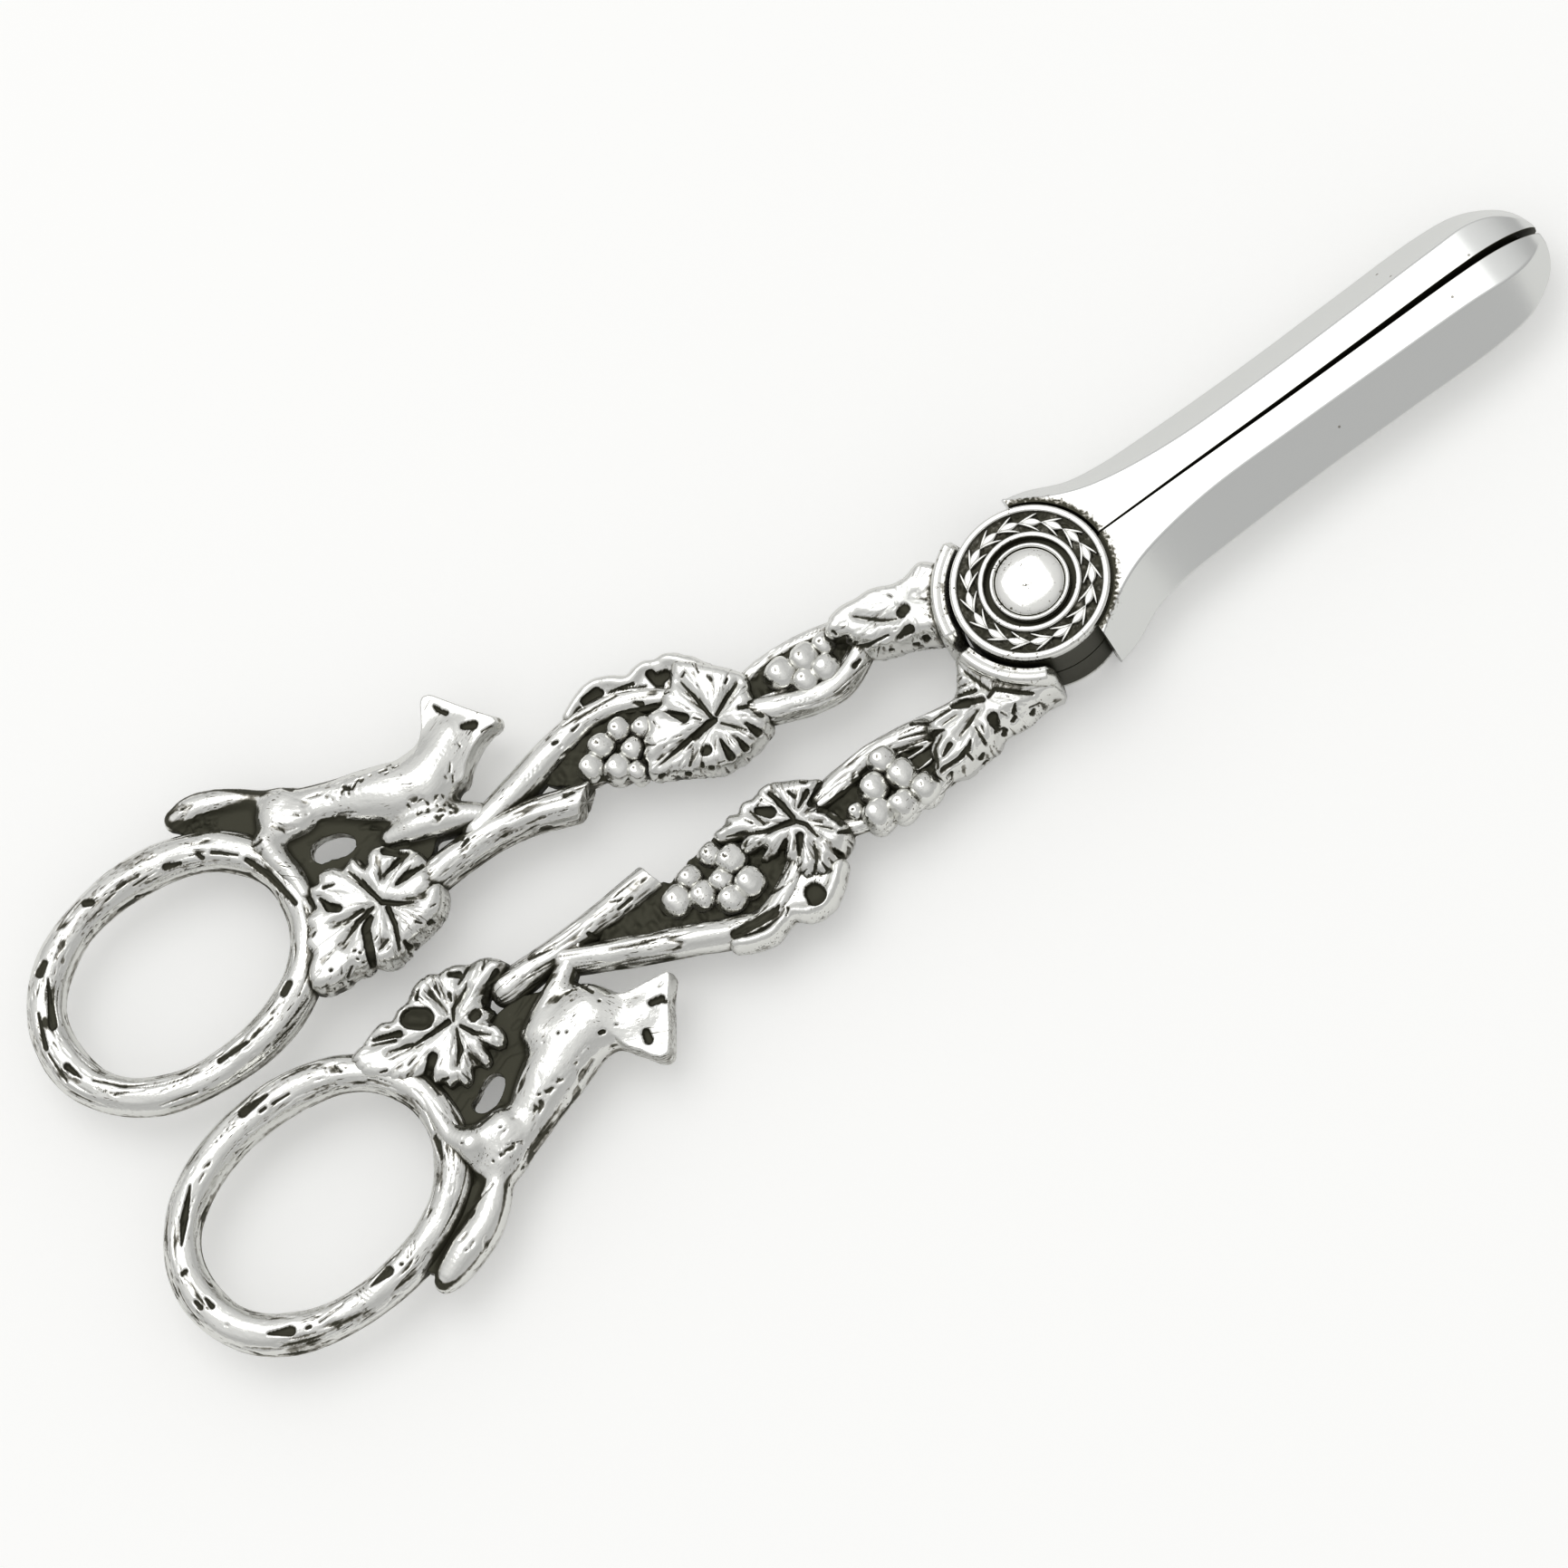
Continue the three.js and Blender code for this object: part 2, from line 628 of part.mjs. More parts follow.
const frontArm = {
  ringShares: [-0.958, 0.2295, 0.985, 1, 0],
  ringLeaf: {
    hubShare: [-0.742, 0.15],
    tipShares: [
      [-1.26, -0.3], [-0.85, 0.41], [-0.1, 0.78], [0.75, 0.04], [0.65, -0.4], [0.11, -0.68],
      [-0.29, -0.71], [-0.85, -0.48],
    ],
  },
  foxShares: {
    bodyShares: [
      [-0.775, 0.302, 0, 0.62], [-0.755, 0.296, 0, 0.74], [-0.72, 0.284, 0, 0.62],
      [-0.685, 0.264, 0, 0.86], [-0.653, 0.246, 0, 1], [-0.626, 0.234, 0, 0.98],
    ],
    tailShares: [
      [-0.765, 0.31, 0, 0.8], [-0.79, 0.333, 0, 0.85], [-0.82, 0.356, 0, 0.95], [-0.85, 0.369],
      [-0.866, 0.371, 0, 0.7],
    ],
    hindLegShares: [
      [-0.775, 0.295, 0, 1.4], [-0.796, 0.275], [-0.798, 0.24, 0, 0.95], [-0.796, 0.213, 0, 0.95],
    ],
    foreLegShares: [
      [-0.675, 0.21, 0, 1.3], [-0.645, 0.184], [-0.61, 0.16, 0, 0.9], [-0.6, 0.154, 0, 0.8],
    ],
    headShares: [
      [-0.62, 0.242, 0, 1.1], [-0.59, 0.26, 0, 0.95], [-0.57, 0.264], [-0.55, 0.254, 0, 0.62],
      [-0.532, 0.245, 0, 0.28],
    ],
    earShares: [-0.576, 0.278, -0.579, 0.309],
    tailWebShares: [
      [-0.87, 0.358], [-0.84, 0.365], [-0.79, 0.332], [-0.78, 0.31], [-0.815, 0.295],
      [-0.84, 0.315],
    ],
    bellyWebShares: [
      [-0.79, 0.29], [-0.72, 0.27], [-0.67, 0.22], [-0.64, 0.18], [-0.67, 0.16], [-0.73, 0.19],
      [-0.79, 0.21],
    ],
    bellyHoleShares: [
      [-0.77, 0.246], [-0.752, 0.253], [-0.728, 0.242], [-0.727, 0.226], [-0.741, 0.223],
      [-0.765, 0.236],
    ],
  },
  caneShares: [
    [-0.682, 0.146], [-0.64, 0.147], [-0.6, 0.145], [-0.56, 0.136], [-0.53, 0.124], [-0.51, 0.118],
  ],
  shootShares: [
    [-0.615, 0.159], [-0.58, 0.166], [-0.55, 0.172], [-0.5, 0.185], [-0.45, 0.19], [-0.41, 0.178],
    [-0.375, 0.156], [-0.355, 0.135],
  ],
  caneGrapes: {
    berryShares: [
      [-0.482, 0.139, 1], [-0.462, 0.152, 1], [-0.436, 0.155, 1], [-0.415, 0.142, 1],
      [-0.462, 0.123, 1], [-0.435, 0.128, 1], [-0.44, 0.105, 0.75],
    ],
    bedShares: [
      [-0.51, 0.17], [-0.45, 0.178], [-0.405, 0.155], [-0.39, 0.12], [-0.4, 0.08], [-0.45, 0.103],
      [-0.485, 0.123], [-0.51, 0.135],
    ],
  },
  caneLeaf: {
    hubShare: [-0.35, 0.092],
    tipShares: [
      [-1, 0.05], [-0.66, 0.57], [-0.25, 0.91], [0.15, 1], [0.46, 0.6], [0.68, 0.17],
      [0.55, -0.35], [0, -0.57], [-0.56, -0.29],
    ],
  },
  tendrilShares: [
    [-0.468, 0.202], [-0.45, 0.212], [-0.43, 0.215], [-0.41, 0.207], [-0.393, 0.193],
    [-0.375, 0.197], [-0.358, 0.192], [-0.33, 0.183], [-0.315, 0.163], [-0.305, 0.14],
  ],
  forkShares: [
    [
      [-0.31, 0.083, 0, 1.05], [-0.28, 0.068, 0, 1.05], [-0.25, 0.056, 0, 1.05],
      [-0.22, 0.052, 0, 1.05], [-0.195, 0.06], [-0.165, 0.08],
    ],
    [
      [-0.31, 0.115, 0, 0.62], [-0.28, 0.121, 0, 0.62], [-0.25, 0.119, 0, 0.62],
      [-0.22, 0.114, 0, 0.65], [-0.19, 0.102, 0, 0.8], [-0.165, 0.08],
    ],
  ],
  forkGrapes: {
    berryShares: [
      [-0.261, 0.095, 1.05], [-0.234, 0.095, 1], [-0.209, 0.097, 0.8], [-0.246, 0.075, 0.85],
      [-0.22, 0.075, 0.9],
    ],
    bedShares: [
      [-0.295, 0.105], [-0.27, 0.115], [-0.2, 0.103], [-0.19, 0.08], [-0.21, 0.06], [-0.26, 0.063],
    ],
  },
  shoulderLeaf: {
    hubShare: [-0.143, 0.072],
    tipShares: [
      [-0.59, 0.26], [-0.34, 0.475], [0.22, 0.475], [0.72, 0.29], [0.66, -0.27], [0.35, -0.57],
      [-0.15, -0.375], [-0.55, -0.21],
    ],
  },
  collarBearings: [frontCollarStartAngle, frontCollarEndAngle],
  blade: frontBlade,
};

const backArm = {
  ringShares: [-0.973, -0.071, 1.035, 1.01, 4],
  ringLeaf: {
    hubShare: [-0.748, -0.006],
    tipShares: [
      [-1.4, 0.39], [-0.84, 0.65], [-0.05, 0.84], [0.54, 0.62], [0.94, 0.28], [0.47, -0.49],
      [-0.03, -0.75], [-0.61, -0.58], [-1.09, -0.11],
    ],
  },
  foxShares: {
    bodyShares: [
      [-0.805, -0.15, 0, 0.74], [-0.775, -0.139, 0, 0.86], [-0.735, -0.135, 0, 0.71],
      [-0.695, -0.108, 0, 0.95], [-0.66, -0.088, 0, 1.05], [-0.63, -0.083, 0, 0.98],
    ],
    tailShares: [
      [-0.795, -0.155, 0, 0.9], [-0.825, -0.182], [-0.86, -0.206], [-0.893, -0.22],
      [-0.91, -0.222, 0, 0.8],
    ],
    hindLegShares: [
      [-0.805, -0.13, 0, 1.3], [-0.824, -0.105], [-0.826, -0.07, 0, 0.95],
      [-0.823, -0.04, 0, 0.95],
    ],
    foreLegShares: [
      [-0.69, -0.055, 0, 1.3], [-0.65, -0.032], [-0.605, -0.009, 0, 0.9], [-0.59, -0.003, 0, 0.8],
    ],
    headShares: [
      [-0.62, -0.092, 0, 1.1], [-0.598, -0.112, 0, 0.95], [-0.583, -0.122],
      [-0.56, -0.113, 0, 0.62], [-0.541, -0.103, 0, 0.28],
    ],
    earShares: [-0.589, -0.136, -0.593, -0.169],
    tailWebShares: [
      [-0.92, -0.205], [-0.88, -0.216], [-0.83, -0.185], [-0.8, -0.16], [-0.815, -0.132],
      [-0.85, -0.14], [-0.9, -0.176],
    ],
    bellyWebShares: [
      [-0.81, -0.12], [-0.81, -0.04], [-0.76, -0.03], [-0.7, -0.02], [-0.66, -0.03],
      [-0.67, -0.07], [-0.72, -0.105], [-0.76, -0.12],
    ],
    bellyHoleShares: [
      [-0.784, -0.086], [-0.746, -0.072], [-0.742, -0.086], [-0.76, -0.099], [-0.783, -0.095],
    ],
  },
  caneShares: [
    [-0.685, -0.004], [-0.64, -0.003, 0, 0.9], [-0.6, -0.003, 0, 0.85], [-0.55, -0.002, 0, 0.9],
    [-0.515, 0, 0, 0.95],
  ],
  shootShares: [
    [-0.62, -0.016], [-0.585, -0.036], [-0.54, -0.06], [-0.5, -0.08], [-0.46, -0.103],
    [-0.43, -0.114], [-0.4, -0.106], [-0.37, -0.088], [-0.354, -0.075],
  ],
  caneGrapes: {
    berryShares: [
      [-0.49, -0.04, 1], [-0.466, -0.052, 1], [-0.439, -0.048, 1], [-0.465, -0.027, 0.8],
      [-0.442, -0.072, 1], [-0.414, -0.07, 1], [-0.418, -0.036, 1.05], [-0.432, -0.018, 0.75],
    ],
    bedShares: [
      [-0.505, -0.026], [-0.47, -0.016], [-0.425, -0.006], [-0.395, -0.02], [-0.39, -0.08],
      [-0.425, -0.096], [-0.47, -0.078], [-0.505, -0.058],
    ],
  },
  caneLeaf: {
    hubShare: [-0.338, -0.053],
    tipShares: [
      [-0.81, 0.54], [-0.34, 0.76], [0.1, 0.75], [0.45, 0.51], [0.55, 0.1], [0.41, -0.46],
      [-0.03, -0.7], [-0.53, -0.56], [-0.78, -0.09],
    ],
  },
  tendrilShares: [
    [-0.45, -0.127], [-0.43, -0.134], [-0.41, -0.126], [-0.393, -0.124], [-0.38, -0.136],
    [-0.362, -0.135], [-0.348, -0.122], [-0.33, -0.11],
  ],
  forkShares: [
    [
      [-0.31, -0.04, 0, 0.7], [-0.28, -0.034, 0, 0.65], [-0.24, -0.031, 0, 0.65],
      [-0.2, -0.036, 0, 0.7], [-0.17, -0.048, 0, 0.85], [-0.15, -0.065],
    ],
    [
      [-0.31, -0.078, 0, 0.7], [-0.28, -0.09, 0, 0.65], [-0.25, -0.1, 0, 0.65],
      [-0.21, -0.103, 0, 0.7], [-0.175, -0.09, 0, 0.85], [-0.15, -0.065],
    ],
  ],
  forkGrapes: {
    berryShares: [
      [-0.233, -0.048, 0.95], [-0.256, -0.067, 1], [-0.225, -0.075, 1], [-0.275, -0.07, 0.7],
      [-0.265, -0.082, 0.8], [-0.243, -0.085, 0.8], [-0.205, -0.08, 0.9],
    ],
    bedShares: [
      [-0.3, -0.05], [-0.27, -0.04], [-0.2, -0.045], [-0.185, -0.065], [-0.2, -0.09],
      [-0.27, -0.085],
    ],
  },
  shoulderLeaf: {
    hubShare: [-0.146, -0.073],
    tipShares: [
      [-0.59, -0.19], [-0.33, 0.44], [0.2, 0.5], [0.58, 0.85], [0.75, 0.35], [0.7, -0.15],
      [0.51, -0.375], [-0.05, -0.46],
    ],
  },
  collarBearings: [backCollarStartAngle, backCollarEndAngle],
  blade: backBlade,
};

// The leaf that ends the casting, cut back to the socket that the joint's plates turn in
function shoulderLeaf(arm, grow = 0) {
  const far = bladeThickness;
  return vineLeaf(arm.shoulderLeaf, shoulderThickness, grow).subtract(disc(socketRadius, -far, far));
}

// Each cast piece of an arm by its own name, the ones that stay whole before those that are
// cut back where they meet them
const castPieces = {
  collar: (arm, grow) => collar(...arm.collarBearings, grow),
  finger_ring: fingerRing,
  ring_leaf: (arm, grow) => vineLeaf(arm.ringLeaf, leafThickness, grow),
  fox,
  cut_cane: (arm, grow) => bar(arm.caneShares, caneDiameter, grow),
  outer_shoot: (arm, grow) => bar(arm.shootShares, shootDiameter, grow),
  cane_leaf: (arm, grow) => vineLeaf(arm.caneLeaf, leafThickness, grow),
  tendril: (arm, grow) => bar(arm.tendrilShares, tendrilDiameter, grow, thinBarSides),
  cane_grapes: (arm, grow) => grapes(arm.caneGrapes, grow),
  forked_shoots: forkedShoots,
  fork_grapes: (arm, grow) => grapes(arm.forkGrapes, grow),
  shoulder_leaf: shoulderLeaf,
};

function named(name, solid, material) {
  const mesh = new THREE.Mesh(geometryOf(solid), material);
  mesh.name = name;
  return mesh;
}

function buildArm(prefix, arm) {
  const group = new THREE.Group();
  const whole = [];
  for (const [name, make] of Object.entries(castPieces)) {
    let solid = make(arm, 0);
    for (const other of whole) {
      solid = solid.subtract(other);
    }
    whole.push(make(arm, seatClearance));
    group.add(named(`${prefix}_${name}`, solid, polished));
  }
  group.add(named(`${prefix}_blade`, arm.blade(), bladeSilver));
  return group;
}

const shears = new THREE.Group();
shears.add(buildArm("front", frontArm));
shears.add(buildArm("back", backArm));
shears.add(named("wreath_boss", wreathBoss(), oxidised));
shears.add(named("pivot_screw", pivotScrew(), polished));
shears.add(named("pivot_nut", pivotNut(), polished));
shears.add(named("back_boss", backBoss(), polished));
shears.position.z = backDepth;

export default shears;
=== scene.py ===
"""Grape shears in cast and polished silver: two fox-and-vine arms, a laurel pivot and two blades.

The castings are sculpted in a lattice of clay, skinned, then chased with gouges, bark and veins.
All sculpting is in millimetres, in the frame whose plane z = 0 halves the arms' thickness.
"""

import functools
import itertools
import math

import bmesh
import bpy
import numpy as np
from bpy.props import FloatProperty, FloatVectorProperty, IntProperty, PointerProperty
from mathutils import Matrix, Vector


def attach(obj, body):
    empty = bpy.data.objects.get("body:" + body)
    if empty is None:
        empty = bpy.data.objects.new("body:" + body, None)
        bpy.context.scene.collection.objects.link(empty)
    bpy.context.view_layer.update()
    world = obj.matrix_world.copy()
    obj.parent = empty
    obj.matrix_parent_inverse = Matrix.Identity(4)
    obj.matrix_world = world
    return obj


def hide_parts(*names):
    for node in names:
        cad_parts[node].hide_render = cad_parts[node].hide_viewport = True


bl_info = {
    "name": "Grape shears",
    "version": (1, 0, 0),
    "blender": (4, 5, 0),
    "location": "3D View > Sidebar > Grape shears",
    "description": "Builds silver grape shears with cast fox-and-vine arms",
    "category": "Add Mesh",
}

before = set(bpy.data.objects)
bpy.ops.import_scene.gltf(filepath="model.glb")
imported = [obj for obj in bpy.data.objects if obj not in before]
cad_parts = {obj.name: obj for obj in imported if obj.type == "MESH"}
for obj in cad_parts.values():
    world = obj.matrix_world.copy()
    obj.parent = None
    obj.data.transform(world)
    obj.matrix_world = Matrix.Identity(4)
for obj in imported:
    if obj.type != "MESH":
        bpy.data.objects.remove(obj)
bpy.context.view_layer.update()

MM = 0.001
CELL = 0.15  # spacing of the clay's lattice
HOLLOW_CELL = 2 * CELL  # spacing of the lattice that finds hollows
FAR = 9.0  # a distance that counts as empty
MARGIN = 1.2  # how far round a form its distances are kept
MID_HEIGHT = 5.4  # height of the arms' mid-plane over the table
LEAN = math.radians(21)  # the photograph's line of sight against the upright
SIGHT = np.array([0.0, -math.sin(LEAN), math.cos(LEAN)])
SLANT = math.tan(LEAN)  # how far a raised mark is read towards +Y, by its height
BANK = 0.16  # width of the slope at a cut's edge
TURN = np.array(Matrix.Rotation(0.6, 3, (0.3, 0.8, 0.5)))  # how the grapes' corners lie
SQUARE = 2.7  # a grape's shape: 2 is a ball, more is nearer a cube
OCTANT = list(itertools.product((0, 1), repeat=3))  # the corners of a cell
SOCKET = 8.8  # radius of the socket round the plates
PLATE = 8.5  # radius of the plates and of the boss
PLATE_TOP = 4.4  # the plates lie from the parting up to this height
PARTING = 0.15  # half the gap between the plates
SHANK = 2.7  # radius of the plates' bore
COLLAR_WIDTH = 2.1
HALF_SLIT = math.radians(0.36)  # angle of each blade off the middle


# Clay: distance fields on one shared lattice


class Clay:
    """A block of the lattice that holds the distance to a surface, negative inside."""

    def __init__(self, low, high):
        self.first = np.floor(np.array(low) / CELL).astype(int) - 3
        last = np.ceil(np.array(high) / CELL).astype(int) + 4
        self.field = np.full(last - self.first, FAR, np.float32)

    def window(self, low, high):
        """The part of the block between two corners, and its three axes."""
        size = self.field.shape
        start = np.clip(np.floor(np.array(low) / CELL).astype(int) - self.first, 0, size)
        stop = np.clip(np.ceil(np.array(high) / CELL).astype(int) + 1 - self.first, 0, size)
        part = tuple(slice(a, b) for a, b in zip(start, stop))
        x, y, z = [
            ((np.arange(a, b) + f) * CELL).astype(np.float32)
            for a, b, f in zip(start, stop, self.first)
        ]
        return part, x[:, None, None], y[None, :, None], z[None, None, :]

    def whole(self):
        low = self.first * CELL
        return self.window(low, low + np.array(self.field.shape) * CELL)[1:]

    def kept(self, other):
        """Keeps only what another distance holds too."""
        self.field = np.maximum(self.field, other).astype(np.float32)
        return self


def fused(*parts):
    """One clay from (clay, blend) pairs, added in turn."""
    low = np.min([clay.first for clay, blend in parts], 0)
    high = np.max([clay.first + clay.field.shape for clay, blend in parts], 0)
    whole = Clay(low * CELL, low * CELL)
    whole.first = low
    whole.field = np.full(high - low, FAR, np.float32)
    for clay, blend in parts:
        start = clay.first - low
        here = whole.field[tuple(slice(a, a + n) for a, n in zip(start, clay.field.shape))]
        reach = max(blend, 1e-3)
        share = np.clip(0.5 + 0.5 * (clay.field - here) / reach, 0, 1)
        here[...] = clay.field * (1 - share) + here * share - reach * share * (1 - share)
    return whole


def eased(points, step=0.7, loop=False):
    """Dense rows of x, y, z, radius on a smooth path through rows of x, y, radius and maybe z."""
    rows = np.array([(p[0], p[1], p[3] if len(p) > 3 else 0.0, p[2]) for p in points], float)
    if loop:
        rows = np.concatenate([rows[-1:], rows, rows[:2]])
    else:
        rows = np.concatenate([2 * rows[:1] - rows[1:2], rows, 2 * rows[-1:] - rows[-2:-1]])
    dense = []
    for a, b, c, d in zip(rows, rows[1:], rows[2:], rows[3:]):
        gaps = [max(math.sqrt(np.linalg.norm((q - p)[:3])), 1e-3) for p, q in ((a, b), (b, c), (c, d))]
        t0, t1, t2, t3 = np.cumsum([0.0] + gaps)
        count = max(1, math.ceil(np.linalg.norm((c - b)[:3]) / step))
        t = (t1 + (t2 - t1) * np.arange(count) / count)[:, None]
        ab = (a * (t1 - t) + b * (t - t0)) / (t1 - t0)
        bc = (b * (t2 - t) + c * (t - t1)) / (t2 - t1)
        cd = (c * (t3 - t) + d * (t - t2)) / (t3 - t2)
        abc = (ab * (t2 - t) + bc * (t - t0)) / (t2 - t0)
        bcd = (bc * (t3 - t) + cd * (t - t1)) / (t3 - t1)
        dense.append((abc * (t2 - t) + bcd * (t - t1)) / (t2 - t1))
    dense.append(rows[-2:-1])
    dense = np.concatenate(dense)
    dense[:, 3] = np.maximum(dense[:, 3], 0.15)
    return dense


def rod(points, depth=1.0, margin=MARGIN, loop=False):
    """A round rod along a smooth path. depth is its thickness in z as a share of its width."""
    rows = eased(points, 0.5, loop)
    reach = rows[:, 3].max() + margin
    clay = Clay(rows[:, :3].min(0) - reach, rows[:, :3].max(0) + reach)
    for (x0, y0, z0, r0), (x1, y1, z1, r1) in zip(rows, rows[1:]):
        r = max(r0, r1) + margin
        low = (min(x0, x1) - r, min(y0, y1) - r, min(z0, z1) - r)
        high = (max(x0, x1) + r, max(y0, y1) + r, max(z0, z1) + r)
        part, x, y, z = clay.window(low, high)
        dx, dy, dz = x1 - x0, y1 - y0, z1 - z0
        t = ((x - x0) * dx + (y - y0) * dy + (z - z0) * dz) / max(dx * dx + dy * dy + dz * dz, 1e-9)
        t = np.clip(t, 0, 1)
        away = (x - x0 - t * dx) ** 2 + (y - y0 - t * dy) ** 2 + ((z - z0 - t * dz) / depth) ** 2
        here = clay.field[part]
        np.minimum(here, np.sqrt(away) - (r0 + t * (r1 - r0)), out=here)
    return clay


def edge_distance(x, y, corners):
    """Signed distance in the plane to a closed outline with its corners eased, negative inside."""
    corners = [tuple(spot) for spot in eased([(a, b, 1) for a, b in corners], loop=True)[:-1, :2]]
    best = np.full(np.broadcast(x, y).shape, 1e6)
    odd = np.zeros(best.shape, bool)
    for (x0, y0), (x1, y1) in zip(corners, corners[1:] + corners[:1]):
        dx, dy = x1 - x0, y1 - y0
        t = np.clip(((x - x0) * dx + (y - y0) * dy) / (dx * dx + dy * dy), 0, 1)
        best = np.minimum(best, (x - x0 - t * dx) ** 2 + (y - y0 - t * dy) ** 2)
        crosses = ((y0 <= y) & (y < y1)) | ((y1 <= y) & (y < y0))
        odd ^= crosses & (x < x0 + (y - y0) * dx / (dy if dy else 1e-9))
    return np.where(odd, -np.sqrt(best), np.sqrt(best))


def slab(corners, half, hole=None):
    """A flat web with a soft outline, and maybe a hole through it."""
    low = np.min(corners, 0) - MARGIN
    high = np.max(corners, 0) + MARGIN
    clay = Clay((*low, -half - MARGIN), (*high, half + MARGIN))
    x, y, z = clay.whole()
    flat = edge_distance(x[:, :, 0], y[:, :, 0], corners)
    if hole:
        flat = np.maximum(flat, 0.1 - edge_distance(x[:, :, 0], y[:, :, 0], hole))
    clay.field[...] = np.maximum(flat[:, :, None].astype(np.float32), np.abs(z) - half)
    return clay


# Noise and readings


def between(table, spots, ease=False):
    """The table's values at spots, in its own steps, blended between its entries."""
    whole = np.floor(spots).astype(int)
    part = spots - whole
    if ease:
        part = part * part * (3 - 2 * part)
    total = np.zeros(len(spots))
    for i, j, k in OCTANT:
        weight = np.abs(1 - i - part[:, 0]) * np.abs(1 - j - part[:, 1]) * np.abs(1 - k - part[:, 2])
        total += weight * table[tuple(((whole + (i, j, k)) % table.shape).T)]
    return total


def sampled(field, first, cell, points):
    """The field's value at points, between its lattice points."""
    return between(field, np.clip(points / cell - first, 0, np.array(field.shape) - 1.001))


@functools.lru_cache(maxsize=None)
def grit(seed):
    return np.random.default_rng(seed).random((32, 32, 32), dtype=np.float32)


def clouds(points, seed=0):
    """Smooth noise from 0 to 1 at rows of three coordinates, one lump to a unit."""
    return between(grit(seed), points, ease=True)


def soft_step(low, high, value):
    t = np.clip((value - low) / (high - low), 0, 1)
    return t * t * (3 - 2 * t)


def off_line(x, y, x0, y0, x1, y1):
    """How far along a line each spot lies, from 0 to 1, and how far off it."""
    dx, dy = x1 - x0, y1 - y0
    t = np.clip(((x - x0) * dx + (y - y0) * dy) / max(dx * dx + dy * dy, 1e-9), 0, 1)
    return t, np.hypot(x - x0 - t * dx, y - y0 - t * dy)


# From clay to a skin


def skinned(clay):
    """A closed mesh of quads on the clay's surface: its corners and its faces."""
    field = clay.field
    inside = field < 0
    total = np.zeros(tuple(s - 1 for s in field.shape), np.int8)
    for i, j, k in OCTANT:
        total += inside[i : i + total.shape[0], j : j + total.shape[1], k : k + total.shape[2]]
    active = (total > 0) & (total < 8)
    place = np.full(total.shape, -1, np.int32)
    cells = np.argwhere(active)
    place[active] = np.arange(len(cells), dtype=np.int32)
    value = {c: field[tuple((cells + c).T)] for c in OCTANT}
    summed = np.zeros((len(cells), 3))
    count = np.zeros(len(cells))
    faces = []
    for axis in range(3):
        for c in OCTANT:
            if c[axis] == 0:
                a, b = value[c], value[tuple(1 if n == axis else c[n] for n in range(3))]
                crossing = (a < 0) != (b < 0)
                t = np.where(crossing, a / np.where(crossing, a - b, 1), 0)
                spot = np.array(c, float)[None, :] + t[:, None] * np.eye(3)[axis][None, :]
                summed += spot * crossing[:, None]
                count += crossing
        u, v = [(1, 2), (2, 0), (0, 1)][axis]
        a = inside.take(range(0, field.shape[axis] - 1), axis)
        b = inside.take(range(1, field.shape[axis]), axis)
        flips = np.argwhere(a != b)
        outward = a[tuple(flips.T)]
        quad = []
        for du, dv in ((-1, -1), (0, -1), (0, 0), (-1, 0)):
            spot = flips.copy()
            spot[:, u] += du
            spot[:, v] += dv
            quad.append(place[tuple(spot.T)])
        quad = np.stack(quad, 1)
        quad[~outward] = quad[~outward][:, ::-1]
        faces.append(quad)
    return (cells + clay.first + summed / count[:, None]) * CELL, np.concatenate(faces)


def normals_of(points, faces):
    a, b, c, d = (points[faces[:, n]] for n in range(4))
    across = np.cross(c - a, d - b)
    total = np.zeros_like(points)
    for axis in range(3):
        for n in range(4):
            total[:, axis] += np.bincount(faces[:, n], across[:, axis], len(points))
    return total / np.maximum(np.linalg.norm(total, axis=1), 1e-12)[:, None]


def settled(clay, points):
    """Moves a skin's corners onto the clay's surface, in two rounds."""
    gradient = np.gradient(clay.field, CELL)
    for _ in range(2):
        slope = np.stack([sampled(g, clay.first, CELL, points) for g in gradient], 1)
        away = sampled(clay.field, clay.first, CELL, points)
        steep = np.maximum((slope**2).sum(1), 0.05)
        points = points - slope * np.clip(away / steep, -0.1, 0.1)[:, None]
    return points


# Hollows: where silver stands close round a spot, polish doesn't reach and tarnish stays


def boxed(field, width):
    """The field's mean over a cube of cells, three times, which comes near a bell curve."""
    for _ in range(3):
        for axis in range(3):
            pad = [(0, 0)] * 3
            pad[axis] = (width // 2 + 1, width // 2)
            run = np.cumsum(np.pad(field, pad), axis, dtype=np.float64)
            size = field.shape[axis]
            field = (run.take(range(width, width + size), axis) - run.take(range(size), axis)) / width
    return field.astype(np.float32)


class Hollows:
    """How much silver is close to any spot, at two scales."""

    def __init__(self, clays):
        low = np.min([c.first for c in clays], 0) // 2 - 8
        high = np.max([c.first + c.field.shape for c in clays], 0) // 2 + 9
        full = np.zeros(high - low, np.float32)
        for clay in clays:
            odd = clay.first % 2
            thin = clay.field[odd[0] :: 2, odd[1] :: 2, odd[2] :: 2]
            start = (clay.first + odd) // 2 - low
            here = full[tuple(slice(a, a + n) for a, n in zip(start, thin.shape))]
            np.maximum(here, np.clip(0.5 - thin / HOLLOW_CELL, 0, 1), out=here)
        self.first = low
        self.near = boxed(full, 3)
        self.wide = boxed(full, 7)

    def depth(self, points, normals):
        """0 on an open face or edge, 1 down in a crevice."""
        near = sampled(self.near, self.first, HOLLOW_CELL, points + 0.35 * normals)
        wide = sampled(self.wide, self.first, HOLLOW_CELL, points + 0.9 * normals)
        return np.clip(1.5 * (near - 0.22), 0, 1) + np.clip(1.9 * (wide - 0.2), 0, 1)


# Pieces


